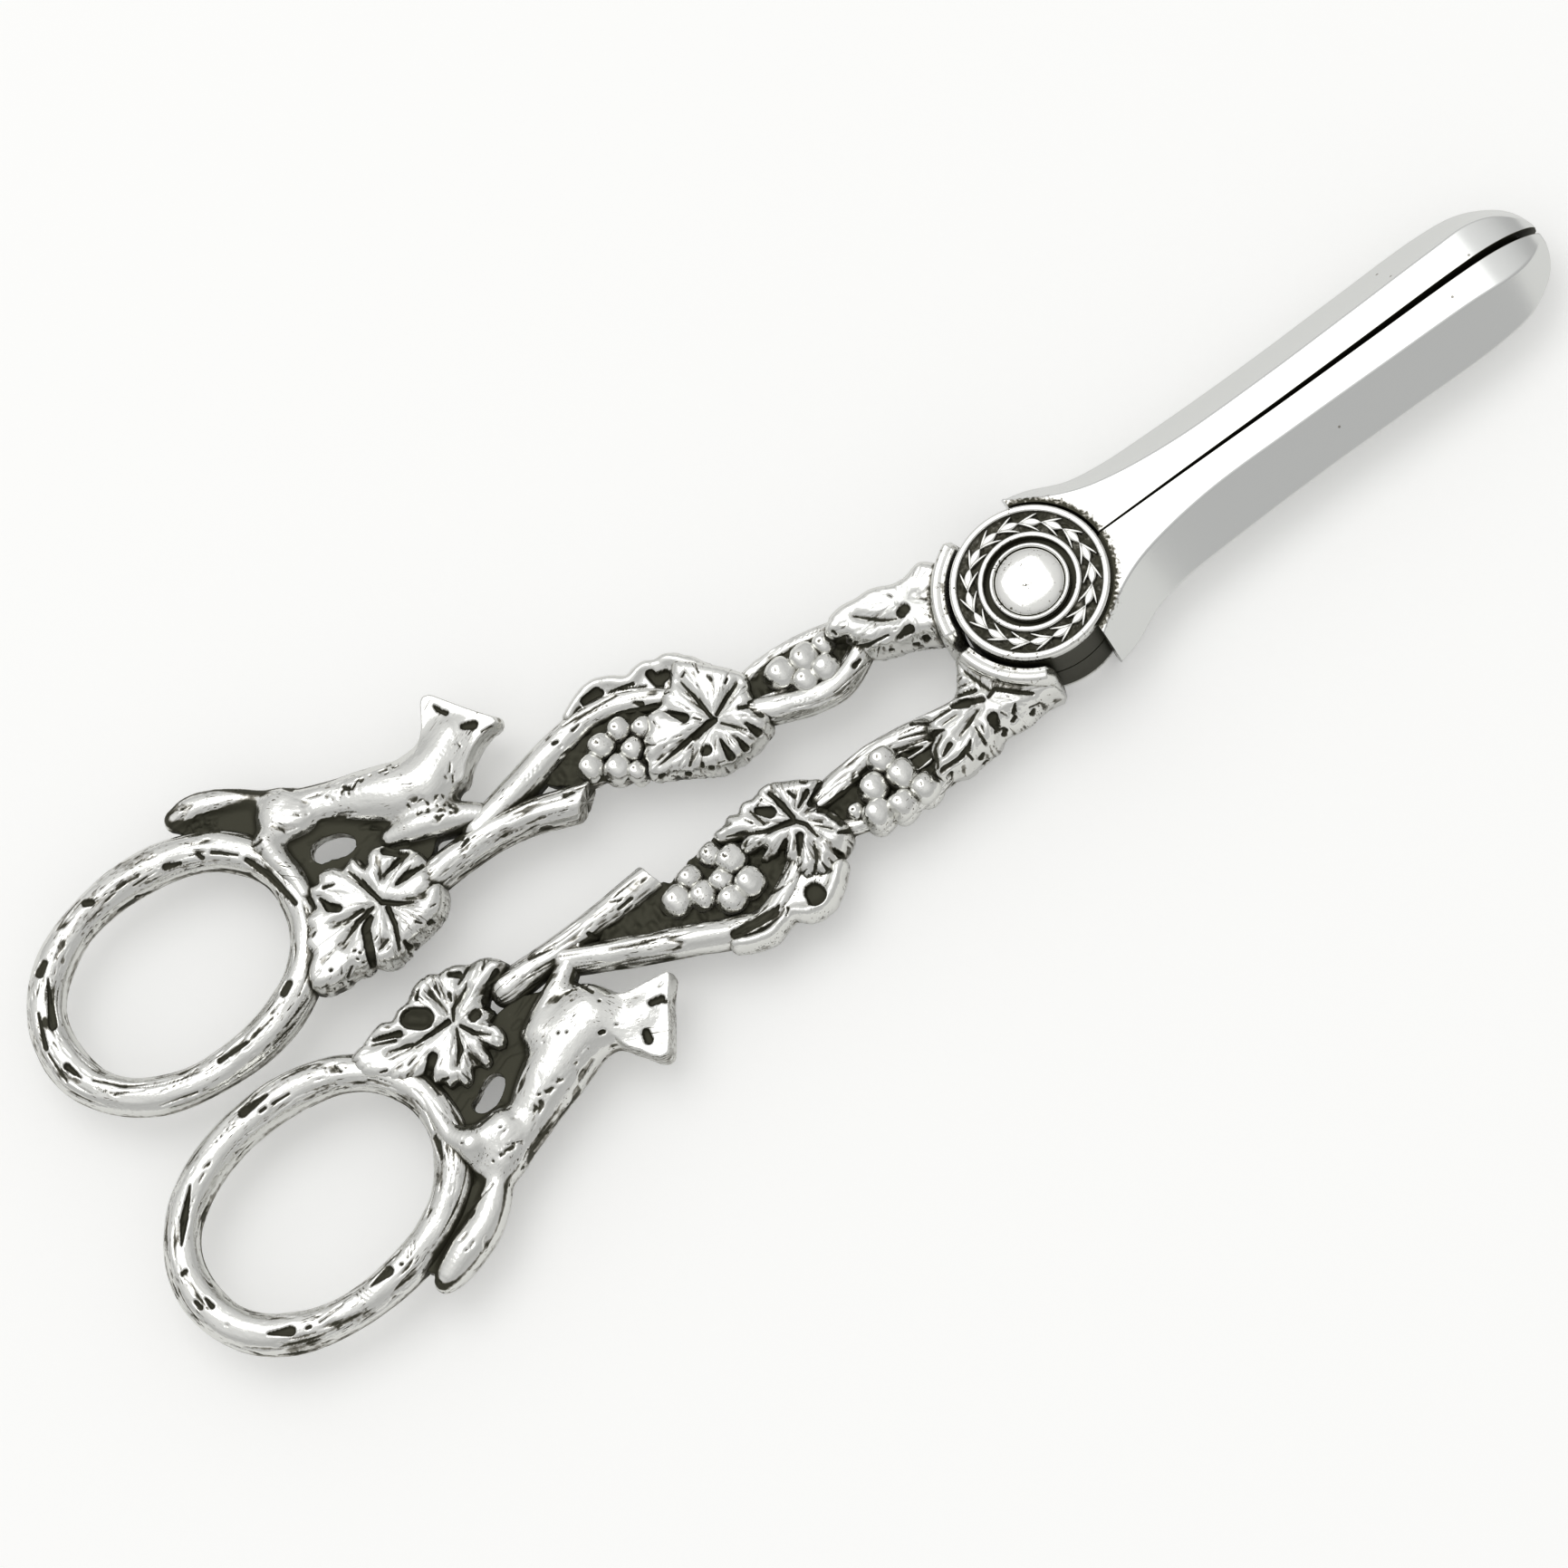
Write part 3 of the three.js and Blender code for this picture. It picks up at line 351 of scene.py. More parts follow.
def fill_mesh(mesh, points, faces):
    mesh.vertices.add(len(points))
    mesh.vertices.foreach_set("co", points.astype(np.float32).ravel())
    mesh.loops.add(faces.size)
    mesh.loops.foreach_set("vertex_index", faces.astype(np.int32).ravel())
    mesh.polygons.add(len(faces))
    mesh.polygons.foreach_set("loop_start", np.arange(0, faces.size, faces.shape[1], dtype=np.int32))
    mesh.polygons.foreach_set("use_smooth", np.ones(len(faces), bool))
    mesh.update(calc_edges=True)
    mesh.validate()


def keep_value(mesh, name, values):
    kind, field = ("FLOAT_VECTOR", "vector") if values.ndim == 2 else ("FLOAT", "value")
    attribute = mesh.attributes.get(name) or mesh.attributes.new(name, kind, "POINT")
    attribute.data.foreach_set(field, values.astype(np.float32).ravel())


def shown(name, data):
    """An object in the scene."""
    thing = bpy.data.objects.new(name, data)
    bpy.context.scene.collection.objects.link(thing)
    return thing


def placed(name, mesh, arm, finish, stands_for):
    """Makes a finished piece of a mesh: it rides on an arm and stands for a CAD node."""
    thing = shown(name, mesh)
    mesh.materials.clear()
    mesh.materials.append(finish)
    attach(thing, f"{arm}_arm")
    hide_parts(stands_for)


def joint_piece(name, mesh, arm, stands_for, rule):
    """Places a piece of the joint, with its hollows worked out by a rule from each corner's place."""
    points = corners_of(mesh)
    keep_value(mesh, "patina_and_shade", rule(points))
    keep_value(mesh, "grain", points * 0.6)
    placed(name, mesh, arm, oxidised_silver("turned", 0.08), stands_for)


def cast_piece(arm, name, chase, rubbed=0.0, floor=0.0, stands_for=None):
    """Skins one casting of an arm, chases it and puts it in its place. What faces up or down no higher than
    floor is a sunk ground, which stays dark with patina. Flanks that face sideways are darkened by their
    facing alone: painted shade, which also stands for the tarnish that no cloth rubs off."""
    clay = castings(arm)[name]
    points, faces = skinned(clay)
    points = settled(clay, points)
    normals = normals_of(points, faces)
    facing = np.abs(normals[:, 2])
    sunk = soft_step(floor + 0.15, floor - 0.15, np.abs(points[:, 2])) * soft_step(0.35, 0.65, facing)
    # painted shade: the last term darkens every flank that faces sideways, by its facing alone, on top of the
    # patina in hollows and sunk grounds
    patina_and_shade = hollows().depth(points, normals) + 0.9 * sunk + 0.42 * soft_step(0.5, 0.0, facing)
    cut, grain = chase(points, normals)
    points = points - normals * cut[:, None]
    mesh = bpy.data.meshes.new(f"{arm}_{name}")
    fill_mesh(mesh, (points + (0, 0, MID_HEIGHT)) * MM, faces)
    # cuts darken with patina; where a mark is laid where shade falls, this darkening is painted shade
    keep_value(mesh, "patina_and_shade", patina_and_shade + np.clip(cut / 0.22, 0, 1.2) - rubbed)
    keep_value(mesh, "grain", grain)
    placed(f"{arm}_{name}_casting", mesh, arm, oxidised_silver(), f"{arm}_{stands_for or name}")


# The arms. Rods are rows of x, y, radius and maybe z. Marks are rows of x, y, x, y, half width,
# half width. A leaf is its hub, the outline of its rim and its marks. Rims and marks are read off
# the top. specks are strips of close pits.
ARMS = {
    "front": {
        "finger_ring": (-95.8, 22.95, 14.955, 11.8, 0),
        "finger_ring_marks": [
            (-107.6, 32.3, -106.6, 32.9, 0.55, 0.4), (-109.5, 26.6, -107.2, 31.2, 0.5, 0.08),
            (-111.5, 25, -110.1, 28.7, 0.3, 0.12), (-110.7, 21.9, -110.1, 19.9, 0.42, 0.1),
            (-109.2, 18.9, -106.8, 16.2, 0.15, 0.12), (-108.2, 16.2, -105.4, 14.6, 0.12, 0.08),
            (-111.6, 24.3, -111.7, 20.5, 0.12, 0.15), (-97.2, 12.3, -93.9, 12.2, 0.3, 0.22),
            (-92.8, 12.2, -90.1, 12.7, 0.1, 0.06), (-87.7, 14.2, -86.7, 14.7, 0.45, 0.4),
            (-90.4, 33.5, -88.9, 32.9, 0.42, 0.2), (-94.3, 34, -91.5, 33.8, 0.12, 0.12),
            (-99.5, 35.7, -98.9, 35.3, 0.42, 0.35), (-96.6, 34.9, -93, 34.6, 0.08, 0.05),
            (-86.9, 32.6, -86.7, 31.9, 0.2, 0.3), (-85.5, 31.8, -83.4, 29.8, 0.25, 0.12),
            (-83, 28.8, -82, 25.8, 0.3, 0.42), (-82, 25.8, -81.4, 21.6, 0.42, 0.3),
            (-103.9, 36, -102.2, 36.5, 0.08, 0.05), (-106.3, 34.7, -104.8, 35.6, 0.1, 0.05),
            (-111.9, 28, -111.2, 30, 0.1, 0.06), (-105, 12.1, -101, 10.9, 0.1, 0.12),
            (-104, 13.3, -100.6, 12.6, 0.08, 0.06), (-89.5, 10.9, -86, 12, 0.1, 0.08),
        ],
        "ring_leaf": {
            "hub": (-73.9, 15.1),
            "rim": [
                (-85.2, 12.4), (-84.9, 13.6), (-84, 14.8), (-83.3, 15.3), (-83.4, 16.2), (-82.9, 17.2),
                (-81.9, 17.7), (-82, 18.5), (-81.3, 19.2), (-80.1, 19.5), (-79.9, 20.8), (-79.3, 21.7),
                (-78.3, 21.6), (-77.9, 22.3), (-76.8, 22.3), (-75.9, 21.9), (-75.2, 21.2), (-73.9, 21.7),
                (-73.3, 21.1), (-73.1, 20), (-72.6, 20.8), (-71.5, 21.2), (-70.5, 20.8), (-69.5, 19.5),
                (-68.2, 18.6), (-67.6, 17.2), (-67.5, 15.6), (-67.9, 14.2), (-67.7, 13), (-68.4, 11.7),
                (-69.6, 10.7), (-71, 10.3), (-72.6, 10), (-73.9, 9.95), (-74.6, 9.5), (-75.6, 9.3),
                (-76.8, 9.4), (-77.9, 10), (-78.4, 10.6), (-79.6, 10.5), (-80.4, 10.9), (-81.6, 10.8),
                (-83.2, 11), (-84.6, 11.6),
            ],
            "marks": [
                (-74.9, 20.9, -74.4, 18.8, 0.1, 0.2), (-74.4, 18.8, -73.9, 15.8, 0.24, 0.2),
                (-73.9, 15.9, -72.6, 14.7, 0.26, 0.22), (-72.6, 14.7, -71.2, 13.8, 0.22, 0.06),
                (-73.7, 15, -74.2, 12.8, 0.27, 0.24), (-74.2, 12.8, -75.2, 10.4, 0.24, 0.1),
                (-75, 16, -77.2, 15.7, 0.14, 0.2), (-77.2, 15.7, -79.8, 14.6, 0.2, 0.05),
                (-75.9, 15.3, -76.9, 14.5, 0.34, 0.42), (-76.9, 14.5, -77.8, 12.2, 0.42, 0.45),
                (-77.8, 12.2, -78.5, 10.8, 0.45, 0.3), (-79, 16.9, -77.6, 16.5, 0.07, 0.12),
                (-77.5, 16.5, -76, 16.4, 0.15, 0.18), (-79, 20.3, -78.7, 18.9, 0.12, 0.4),
                (-78.7, 18.9, -78, 18.3, 0.42, 0.45), (-78, 21.1, -76.9, 20.7, 0.22, 0.1),
                (-82.3, 13.1, -82.3, 13.1, 0.2, 0.2), (-81.2, 12.6, -81.6, 12, 0.08, 0.12),
                (-84.2, 12, -83.6, 11.9, 0.12, 0.08), (-80.3, 12, -81.3, 11.3, 0.1, 0.16),
                (-76.8, 13, -76.3, 13.1, 0.12, 0.1), (-76.9, 11.8, -75.6, 12.1, 0.1, 0.12),
                (-76.4, 11.2, -75.7, 11.4, 0.07, 0.1), (-74.3, 10.8, -74.3, 9.9, 0.18, 0.3),
                (-72.2, 11.9, -71.8, 11.3, 0.14, 0.12), (-71.1, 10.8, -70.9, 10.8, 0.28, 0.3),
                (-70, 12.2, -69.4, 12.1, 0.1, 0.12), (-71.4, 16.6, -70.2, 16.7, 0.22, 0.36),
                # painted shadow: the second mark on the next line is a thin dark cut laid where a branch's
                # shadow falls across the leaf
                (-70.2, 16.7, -68.2, 16.4, 0.36, 0.12), (-70, 13.9, -68.2, 14.4, 0.08, 0.12),
                # painted shade: the two marks on the next line darken a lobe that lies in shade
                (-72.2, 18.2, -69, 18.7, 0.1, 0.35), (-70.6, 20.4, -69.2, 18.8, 0.4, 0.3),
                (-79.2, 13.4, -79, 13.3, 0.14, 0.14), (-79.4, 12.4, -79.3, 12.2, 0.16, 0.14),
                (-78.8, 12.9, -78.7, 12.7, 0.12, 0.14), (-79.1, 11.6, -79, 11.5, 0.14, 0.14),
                (-81.9, 17.4, -81.3, 17.6, 0.12, 0.08),
            ],
        },
        "fox": {
            "body": [
                (-77.6, 30.3, 2.8), (-75, 29.5, 2.4), (-72, 28.1, 2.45), (-69, 26.4, 3.1), (-66, 24.6, 3.6),
                (-63.2, 23.3, 3.6),
            ],
            "tail": [
                (-76.4, 31.4, 1.7), (-78.4, 33.3, 1.2), (-80.4, 34.9, 1.35), (-82.6, 36.1, 1.65),
                (-84.8, 36.9, 1.7), (-86.8, 37.1, 1.3),
            ],
            "hind_leg": [(-80.3, 28.3, 1.9), (-80.3, 26, 1.6), (-80, 23.8, 1.45), (-80.1, 21.3, 1.35)],
            "thigh": [(-79, 28.9, 1.9), (-75.9, 28.5, 2)],
            "solder": [(-85.2, 34, 1.2), (-84.8, 32.4, 1.5)],
            "fore_leg": [
                (-69.3, 20.8, 1.3), (-66.8, 20.2, 1.9), (-64, 19.2, 2), (-61.5, 17.8, 1.7),
                (-59.5, 16.4, 1.3), (-58.2, 15.6, 1.1),
            ],
            "neck": [(-63, 23.8, 3.2), (-60.7, 24.5, 3.1), (-58.4, 25.6, 2.6)],
            "snout": [(-57.6, 25.9, 2.1), (-55, 25.1, 1.4), (-53.4, 24.4, 0.75)],
            "mask": [
                (-61.2, 26.6), (-60.3, 28.2), (-59.3, 29.8), (-58.6, 30.9), (-58, 31.3), (-57.4, 31.1),
                (-56.4, 29.7), (-54.8, 27.1), (-53.2, 24.7), (-53.2, 24.1), (-54.5, 24), (-56.5, 23.5),
                (-58.3, 22.5), (-59.8, 21.1), (-61.5, 23),
            ],
            "tail_web": [
                (-87.2, 36.2), (-84, 36.2), (-79, 32.8), (-77.6, 31), (-80, 29), (-82.5, 29), (-84.5, 31),
            ],
            "belly_web": [
                (-80, 28.5), (-74, 28.5), (-69, 25), (-65, 19.5), (-67, 16.5), (-73, 18), (-79.5, 20.5),
            ],
            "belly_hole": [
                (-77.2, 24.2), (-76.9, 25), (-75.9, 25.4), (-74.6, 25.1), (-73.2, 24.3), (-72.6, 23.3),
                (-73, 22.5), (-74, 22.3), (-75.5, 22.9), (-76.8, 23.2),
            ],
            "marks": [
                (-56.2, 26.5, -55.4, 26, 0.42, 0.5), (-57.6, 30.3, -57.5, 29.8, 0.16, 0.3),
                (-57.4, 29.5, -57, 28.9, 0.22, 0.28), (-55.1, 24.75, -53.9, 24.6, 0.12, 0.07),
                (-57.8, 25.3, -57.8, 24.8, 0.09, 0.09), (-87.2, 38.2, -87.1, 38.2, 0.18, 0.12),
                (-85.7, 37.9, -85.4, 37.8, 0.12, 0.1), (-79.8, 36, -79.6, 35.9, 0.1, 0.08),
                (-69.9, 20.3, -68.3, 19.6, 0.16, 0.3), (-78.2, 29.6, -78, 28.2, 0.05, 0.09),
                (-76.1, 29.9, -75.8, 29.3, 0.06, 0.08), (-70.2, 29, -69.9, 28.4, 0.2, 0.2),
                (-69.6, 28.2, -68.5, 28.7, 0.16, 0.05), (-59.6, 24, -60.2, 23.2, 0.08, 0.12),
                (-60.2, 22.7, -60.6, 22, 0.06, 0.1), (-70.4, 23.4, -69.6, 22.6, 0.2, 0.1),
                (-80.3, 29.5, -82.4, 29.6, 0.08, 0.1), (-79.6, 20.9, -79.8, 20.4, 0.1, 0.12),
                (-60.9, 23.1, -60.9, 22.7, 0.1, 0.08), (-65.3, 28, -64.8, 27.9, 0.08, 0.08),
            ],
            "specks": [
                (-85.1, 34.6, -84.9, 32.2, 2.4), (-65.2, 22.4, -64, 20.4, 1.5),
                (-72.2, 29, -69.2, 28.1, 0.8), (-69, 28.4, -64.5, 27.3, 0.5),
                (-62.8, 21.5, -62.2, 19.4, 0.8),
            ],
        },
        "cut_cane": [
            (-68.2, 14.6, 1.95), (-64, 14.7, 1.95), (-60, 14.5, 1.95), (-56, 13.6, 1.95), (-53, 12.4, 2),
            (-49.5, 11, 2.1),
        ],
        "cane_cut": ((-50.6, 11.3, 0), (0.61, -0.79, 0)),
        "cut_cane_marks": [
            (-51.9, 13.5, -50.9, 13.1, 0.28, 0.12), (-63.7, 15.6, -62.9, 15.9, 0.12, 0.25),
            (-66.5, 18, -63.2, 16.4, 0.15, 0.2), (-59, 15.9, -55, 15.2, 0.07, 0.05),
        ],
        "outer_shoot": [
            (-61.5, 15.9, 1.7), (-58, 16.4, 1.85), (-55, 16.95, 1.95), (-50, 18.15, 1.85),
            (-45, 18.7, 1.65), (-41, 17.6, 1.6), (-37.5, 15.4, 1.6), (-35.5, 13.5, 1.5),
        ],
        "outer_shoot_marks": [
            (-49.7, 18.9, -49.3, 18.8, 0.24, 0.2), (-49.4, 18.1, -49.2, 18.1, 0.16, 0.14),
            (-47.3, 18.8, -46.4, 18.9, 0.22, 0.12), (-40.4, 17.2, -39.9, 16.6, 0.22, 0.32),
            (-48, 19.9, -41.5, 19.1, 0.1, 0.12), (-42.5, 17.4, -38.8, 15.5, 0.1, 0.25),
            (-54.2, 17.4, -54, 18.1, 0.06, 0.04), (-53.7, 17.4, -53.4, 18.2, 0.06, 0.04),
            (-53.1, 17.5, -52.8, 18.2, 0.06, 0.04), (-52.5, 17.5, -52.3, 18.2, 0.06, 0.04),
        ],
        "tendril": [
            (-46.8, 19.9, 0.85), (-45, 20.75, 0.85), (-43, 21.1, 0.9), (-41.2, 20.2, 1), (-39.6, 19, 1),
            (-37.6, 19.3, 1), (-36.2, 18.7, 0.9), (-34.9, 18.4, 1), (-33.6, 17, 1), (-32.3, 15.3, 0.8),
        ],
        "tendril_web": [
            [(-45.5, 18.8), (-44.5, 20.4), (-42.5, 20.8), (-40.5, 19.6), (-39.5, 17.5), (-43, 18.3)],
            [(-39.6, 18.8), (-36.5, 19.1), (-34.5, 18.5), (-33, 16.5), (-36, 15), (-38.8, 16.2)],
        ],
        "tendril_marks": [
            (-44.5, 20.65, -43, 20.75, 0.5, 0.5), (-44.2, 20.45, -42.7, 20.4, 0.4, 0.4),
            (-37.3, 18.75, -37.2, 17.1, 0.5, 0.45), (-37, 17.9, -36, 17.75, 0.7, 0.5),
            (-36.9, 17.3, -35.9, 17.5, 0.3, 0.3), (-49, 20.05, -46, 20.1, 0.06, 0.1),
            (-42, 19.9, -39.3, 19, 0.12, 0.2), (-41.2, 19.6, -38.4, 18, 0.08, 0.12),
            (-35.2, 16.1, -34.3, 16.8, 0.12, 0.1),
        ],
        "cane_grapes": [
            (-48.1, 13.8, 1.2), (-45.9, 15.1, 1.2), (-43.4, 15.4, 1.1), (-41.2, 14, 1.1), (-45.8, 12, 1.2),
            (-43.4, 12.7, 1.1), (-44.3, 10.5, 0.9),
        ],
        "cane_grape_bed": [
            (-53, 15.6), (-50, 17.2), (-45, 18), (-40.5, 15.8), (-38.8, 12), (-40, 8), (-45, 10.1),
            (-48.5, 12.1), (-50.4, 13.2),
        ],
        "cane_leaf": {
            "hub": (-34.6, 9.4),
            "rim": [
                (-43.6, 9.3), (-43, 10.6), (-43.1, 11.4), (-42.2, 12.1), (-42.1, 12.8), (-41, 13.4),
                (-40.2, 14.9), (-38.3, 15), (-37.8, 15.9), (-36.6, 16), (-35.7, 17.1), (-34.6, 18.1),
                (-33.4, 17.4), (-32.1, 16), (-31, 14.6), (-29.8, 13.1), (-29.3, 12), (-29.5, 11),
                (-29.9, 10.2), (-30, 8.3), (-29.8, 6.9), (-30.4, 5.9), (-31.4, 5.4), (-32.8, 5),
                (-34.5, 4.8), (-36, 4.9), (-37.4, 5.3), (-38.6, 6), (-40.1, 6.9), (-41.6, 7.9),
            ],
            "marks": [
                (-34.8, 10.4, -37.5, 10.2, 0.4, 0.28), (-37.5, 10.3, -42.2, 9.9, 0.25, 0.08),
                (-34.8, 10.9, -34.9, 13.2, 0.18, 0.17), (-34.9, 13.2, -35.2, 16, 0.15, 0.05),
                (-34.2, 10.7, -32.5, 11.5, 0.18, 0.19), (-32.5, 11.5, -30.5, 12.2, 0.18, 0.06),
                (-35.4, 8.2, -35.6, 5.8, 0.1, 0.4), (-33.9, 7.2, -33.8, 5.6, 0.1, 0.36),
                (-32.3, 8, -31.8, 6.2, 0.16, 0.42), (-34.3, 9.6, -32.6, 7.4, 0.13, 0.08),
                (-38.1, 14.2, -37.1, 12.5, 0.13, 0.45), (-37.4, 8.25, -37.2, 8.2, 0.58, 0.6),
                (-31.9, 9.9, -30.9, 9.3, 0.24, 0.2), (-30.9, 9.3, -30.4, 7.6, 0.18, 0.24),
                (-30.7, 9.6, -29.8, 9.5, 0.18, 0.14), (-40.3, 7.3, -40.1, 7.1, 0.22, 0.24),
                (-38, 6.3, -37.8, 6.1, 0.22, 0.24), (-42.7, 8.8, -42.3, 8.7, 0.26, 0.18),
                (-34.8, 16.4, -34.3, 16.7, 0.14, 0.12), (-32.6, 14.9, -32.5, 14.2, 0.1, 0.12),
                (-31.5, 13, -31.1, 13.2, 0.14, 0.12), (-41.9, 12.6, -41.2, 12, 0.12, 0.08),
                (-40, 14.3, -39.8, 13.2, 0.1, 0.05), (-36.3, 12, -35.8, 11.2, 0.12, 0.1),
                (-39.2, 11.4, -38.4, 11.1, 0.08, 0.1), (-38.2, 9.2, -39.6, 7.8, 0.05, 0.13),
                (-38.4, 7.2, -38.6, 6.8, 0.18, 0.18), (-36.9, 16, -38, 16.2, 0.1, 0.12),
                (-36.4, 5.9, -37, 6.1, 0.1, 0.08), (-42.2, 10.5, -41, 10.7, 0.05, 0.05),
            ],
        },
        "forked_shoots": [
            [
                (-31, 8.3, 1.58), (-28, 6.8, 1.58), (-25, 5.6, 1.58), (-22, 5.2, 1.58), (-19.5, 6, 1.5),
                (-16.5, 8, 1.5),
            ],
            [
                (-31, 11.5, 0.93), (-28, 12, 0.93), (-25, 11.9, 0.93), (-22, 11.4, 0.98), (-19, 10.2, 1.2),
                (-16.5, 8, 1.5),
            ],
        ],
        "sprouts": [[(-29.5, 9, 0.3), (-27.5, 8.2, 0.35), (-26, 7.6, 0.3)]],
        "forked_shoots_marks": [
            (-27.6, 7.9, -27.3, 7.1, 0.07, 0.05), (-27.1, 7.4, -26.8, 6.6, 0.07, 0.05),
            (-26.6, 7, -26.3, 6.2, 0.07, 0.05), (-26.1, 6.7, -25.8, 5.9, 0.07, 0.05),
            (-25.6, 6.3, -25.3, 5.6, 0.07, 0.05), (-19.6, 6, -18.7, 6.1, 0.35, 0.15),
            (-23, 4.9, -18, 5.4, 0.1, 0.06),
        ],
        "fork_grapes": [
            (-26.3, 9.7, 1.45), (-23.4, 9.5, 1.4), (-20.9, 9.6, 1.05), (-24.6, 7.5, 1.2), (-22.2, 7.3, 1.3),
        ],
        "fork_grape_bed": [
            (-31, 10.5), (-27, 11.5), (-20, 10.3), (-18, 8), (-20, 6), (-26, 6.3), (-30, 8.3),
        ],
        "shoulder_leaf": {
            "hub": (-11.3, 7.2),
            "rim": [
                (-20.3, 9.9), (-19.5, 11.2), (-18.2, 11.7), (-17, 11.8), (-15.3, 11.5), (-14, 11.5),
                (-12.8, 11.1), (-11.5, 10.4), (-10, 10.2), (-8.4, 10.6), (-7.4, 10.4), (-5, 6), (-8, 2.4),
                (-10.7, 2.5), (-11.8, 3.2), (-13, 3.9), (-15, 4.7), (-17, 5.5), (-17.4, 6.2), (-18.2, 7.2),
                (-19, 8.4),
            ],
            "core": [(-17, 7.3, 2.1), (-13.5, 6.7, 2.8), (-9.8, 6, 3.6)],
            "marks": [
                (-12.5, 7.7, -12, 7.9, 0.55, 0.62), (-12.3, 9.2, -12.3, 8.6, 0.05, 0.12),
                (-14.2, 5.5, -12.9, 5.6, 0.3, 0.55), (-16.9, 10.9, -16.2, 10, 0.06, 0.1),
                (-16.2, 10, -14.6, 8.3, 0.11, 0.15), (-14.6, 8.3, -13.2, 7.4, 0.15, 0.06),
                (-18.6, 7.8, -17.4, 6.9, 0.1, 0.2), (-17.4, 6.9, -15, 6.5, 0.24, 0.14),
                (-12.1, 3.9, -12, 3.6, 0.24, 0.36), (-13.3, 3.9, -13, 3.7, 0.18, 0.22),
                (-12.5, 10.2, -12.3, 9.8, 0.12, 0.1), (-19.4, 10.5, -19.3, 10, 0.18, 0.14),
                (-19.9, 9.5, -18.7, 9.2, 0.14, 0.07), (-19.9, 8.8, -19, 8, 0.24, 0.12),
                (-17.2, 5.3, -16.2, 6.2, 0.05, 0.1), (-15.7, 5, -15.4, 4.8, 0.16, 0.14),
                (-14.2, 6.6, -13.8, 6.5, 0.1, 0.08), (-10.4, 8.2, -9.6, 7.2, 0.06, 0.1),
                (-18.2, 8, -18, 7.9, 0.1, 0.1),
            ],
        },
        "collar": (113, 179),
    },
    "back": {
        "finger_ring": (-97.3, -7.1, 15.605, 11.897, 4),
        "finger_ring_marks": [
            (-98.3, 6.1, -95.3, 6.1, 0.55, 0.2), (-96.7, 5, -96.1, 5, 0.22, 0.2),
            (-95.2, 4.9, -93.2, 4.7, 0.2, 0.12), (-93, 6.6, -89.8, 5.9, 0.08, 0.05),
            (-107.1, 3, -109.6, 0.3, 0.12, 0.45), (-109.6, 0.3, -111.3, -1.8, 0.45, 0.1),
            (-112.9, -4.4, -112.4, -4.4, 0.25, 0.25), (-113.4, -7.7, -113.3, -8.6, 0.22, 0.3),
            (-112.3, -8.1, -112.2, -9.2, 0.15, 0.32), (-112.1, -11.8, -111.9, -12, 0.15, 0.1),
            (-109, -15.3, -107, -16.5, 0.16, 0.6), (-105.4, -17.3, -105.1, -17.4, 0.2, 0.2),
            (-104, -17.6, -101, -17.5, 0.12, 0.1), (-95.2, -17.5, -97.5, -17.7, 0.58, 0.12),
            (-99.3, -17.4, -98.9, -18.7, 0.09, 0.06), (-98.8, -17.4, -98.4, -18.7, 0.09, 0.06),
            (-98.3, -17.4, -97.9, -18.6, 0.09, 0.06), (-92.8, -17.6, -92.2, -16.8, 0.09, 0.05),
            (-92.3, -17.5, -91.7, -16.6, 0.09, 0.05), (-91.8, -17.3, -91.2, -16.4, 0.09, 0.05),
            (-88.8, 4, -88.6, 4.7, 0.09, 0.06), (-87.5, 3.3, -87.7, 4.3, 0.15, 0.06),
            (-86.9, 3.3, -87.2, 3.9, 0.1, 0.05), (-84.1, -11, -83.4, -8.9, 0.15, 0.45),
            (-83, -7.9, -82.6, -6, 0.15, 0.1), (-93.7, -17.7, -93.6, -17.8, 0.18, 0.15),
        ],
        "ring_leaf": {
            "hub": (-75, -0.8),
            "rim": [
                (-86, 3.5), (-84, 4), (-82.5, 4.5), (-81.1, 4.7), (-80.2, 4.2), (-79.2, 4.8), (-77.8, 4.9),
                (-76.9, 5.6), (-75.8, 6), (-74.8, 6.1), (-74, 5.9), (-73.4, 5.4), (-72.4, 5.4),
                (-71.4, 5.05), (-70.2, 4.3), (-69.1, 4.1), (-68, 3.5), (-67.3, 2.6), (-67, 1.4),
                (-68.5, 0.6), (-70.6, 0.4), (-71.2, -0.8), (-70.9, -1.8), (-71.9, -2.4), (-71.4, -3.3),
                (-71.3, -4.4), (-72, -5.6), (-72.9, -5.4), (-73.6, -4.5), (-74.1, -6.1), (-75, -6.3),
                (-75.9, -5.4), (-76.9, -6.5), (-77.8, -6.7), (-78.3, -5.8), (-79.2, -5.8), (-79.5, -4.8),
                (-80.3, -4.4), (-80.4, -3.2), (-82.8, -2.6), (-84.4, -0.9), (-86.2, 1.2),
            ],
            "marks": [
                (-78.4, 3.6, -77.4, 2.7, 1.15, 1.25), (-79.6, 0.85, -75.4, 0.7, 0.1, 0.3),
                (-79.8, 1, -82.2, 1.9, 0.18, 0.06), (-83.3, 3.6, -81, 2.5, 0.1, 0.15),
                # painted shade: the first mark on the next line is a shallow dark cut laid where the leaf
                # lies in shade
                (-82.8, 4, -80.3, 2.9, 0.2, 0.34), (-80.2, -2.6, -78.8, -1.4, 0.34, 0.46),
                (-73, -0.45, -72.5, -0.4, 0.56, 0.6), (-75.1, -0.4, -76.1, -2.6, 0.1, 0.24),
                (-76.1, -2.6, -77.3, -3.8, 0.24, 0.06), (-74.6, -0.4, -73.9, -1.9, 0.16, 0.24),
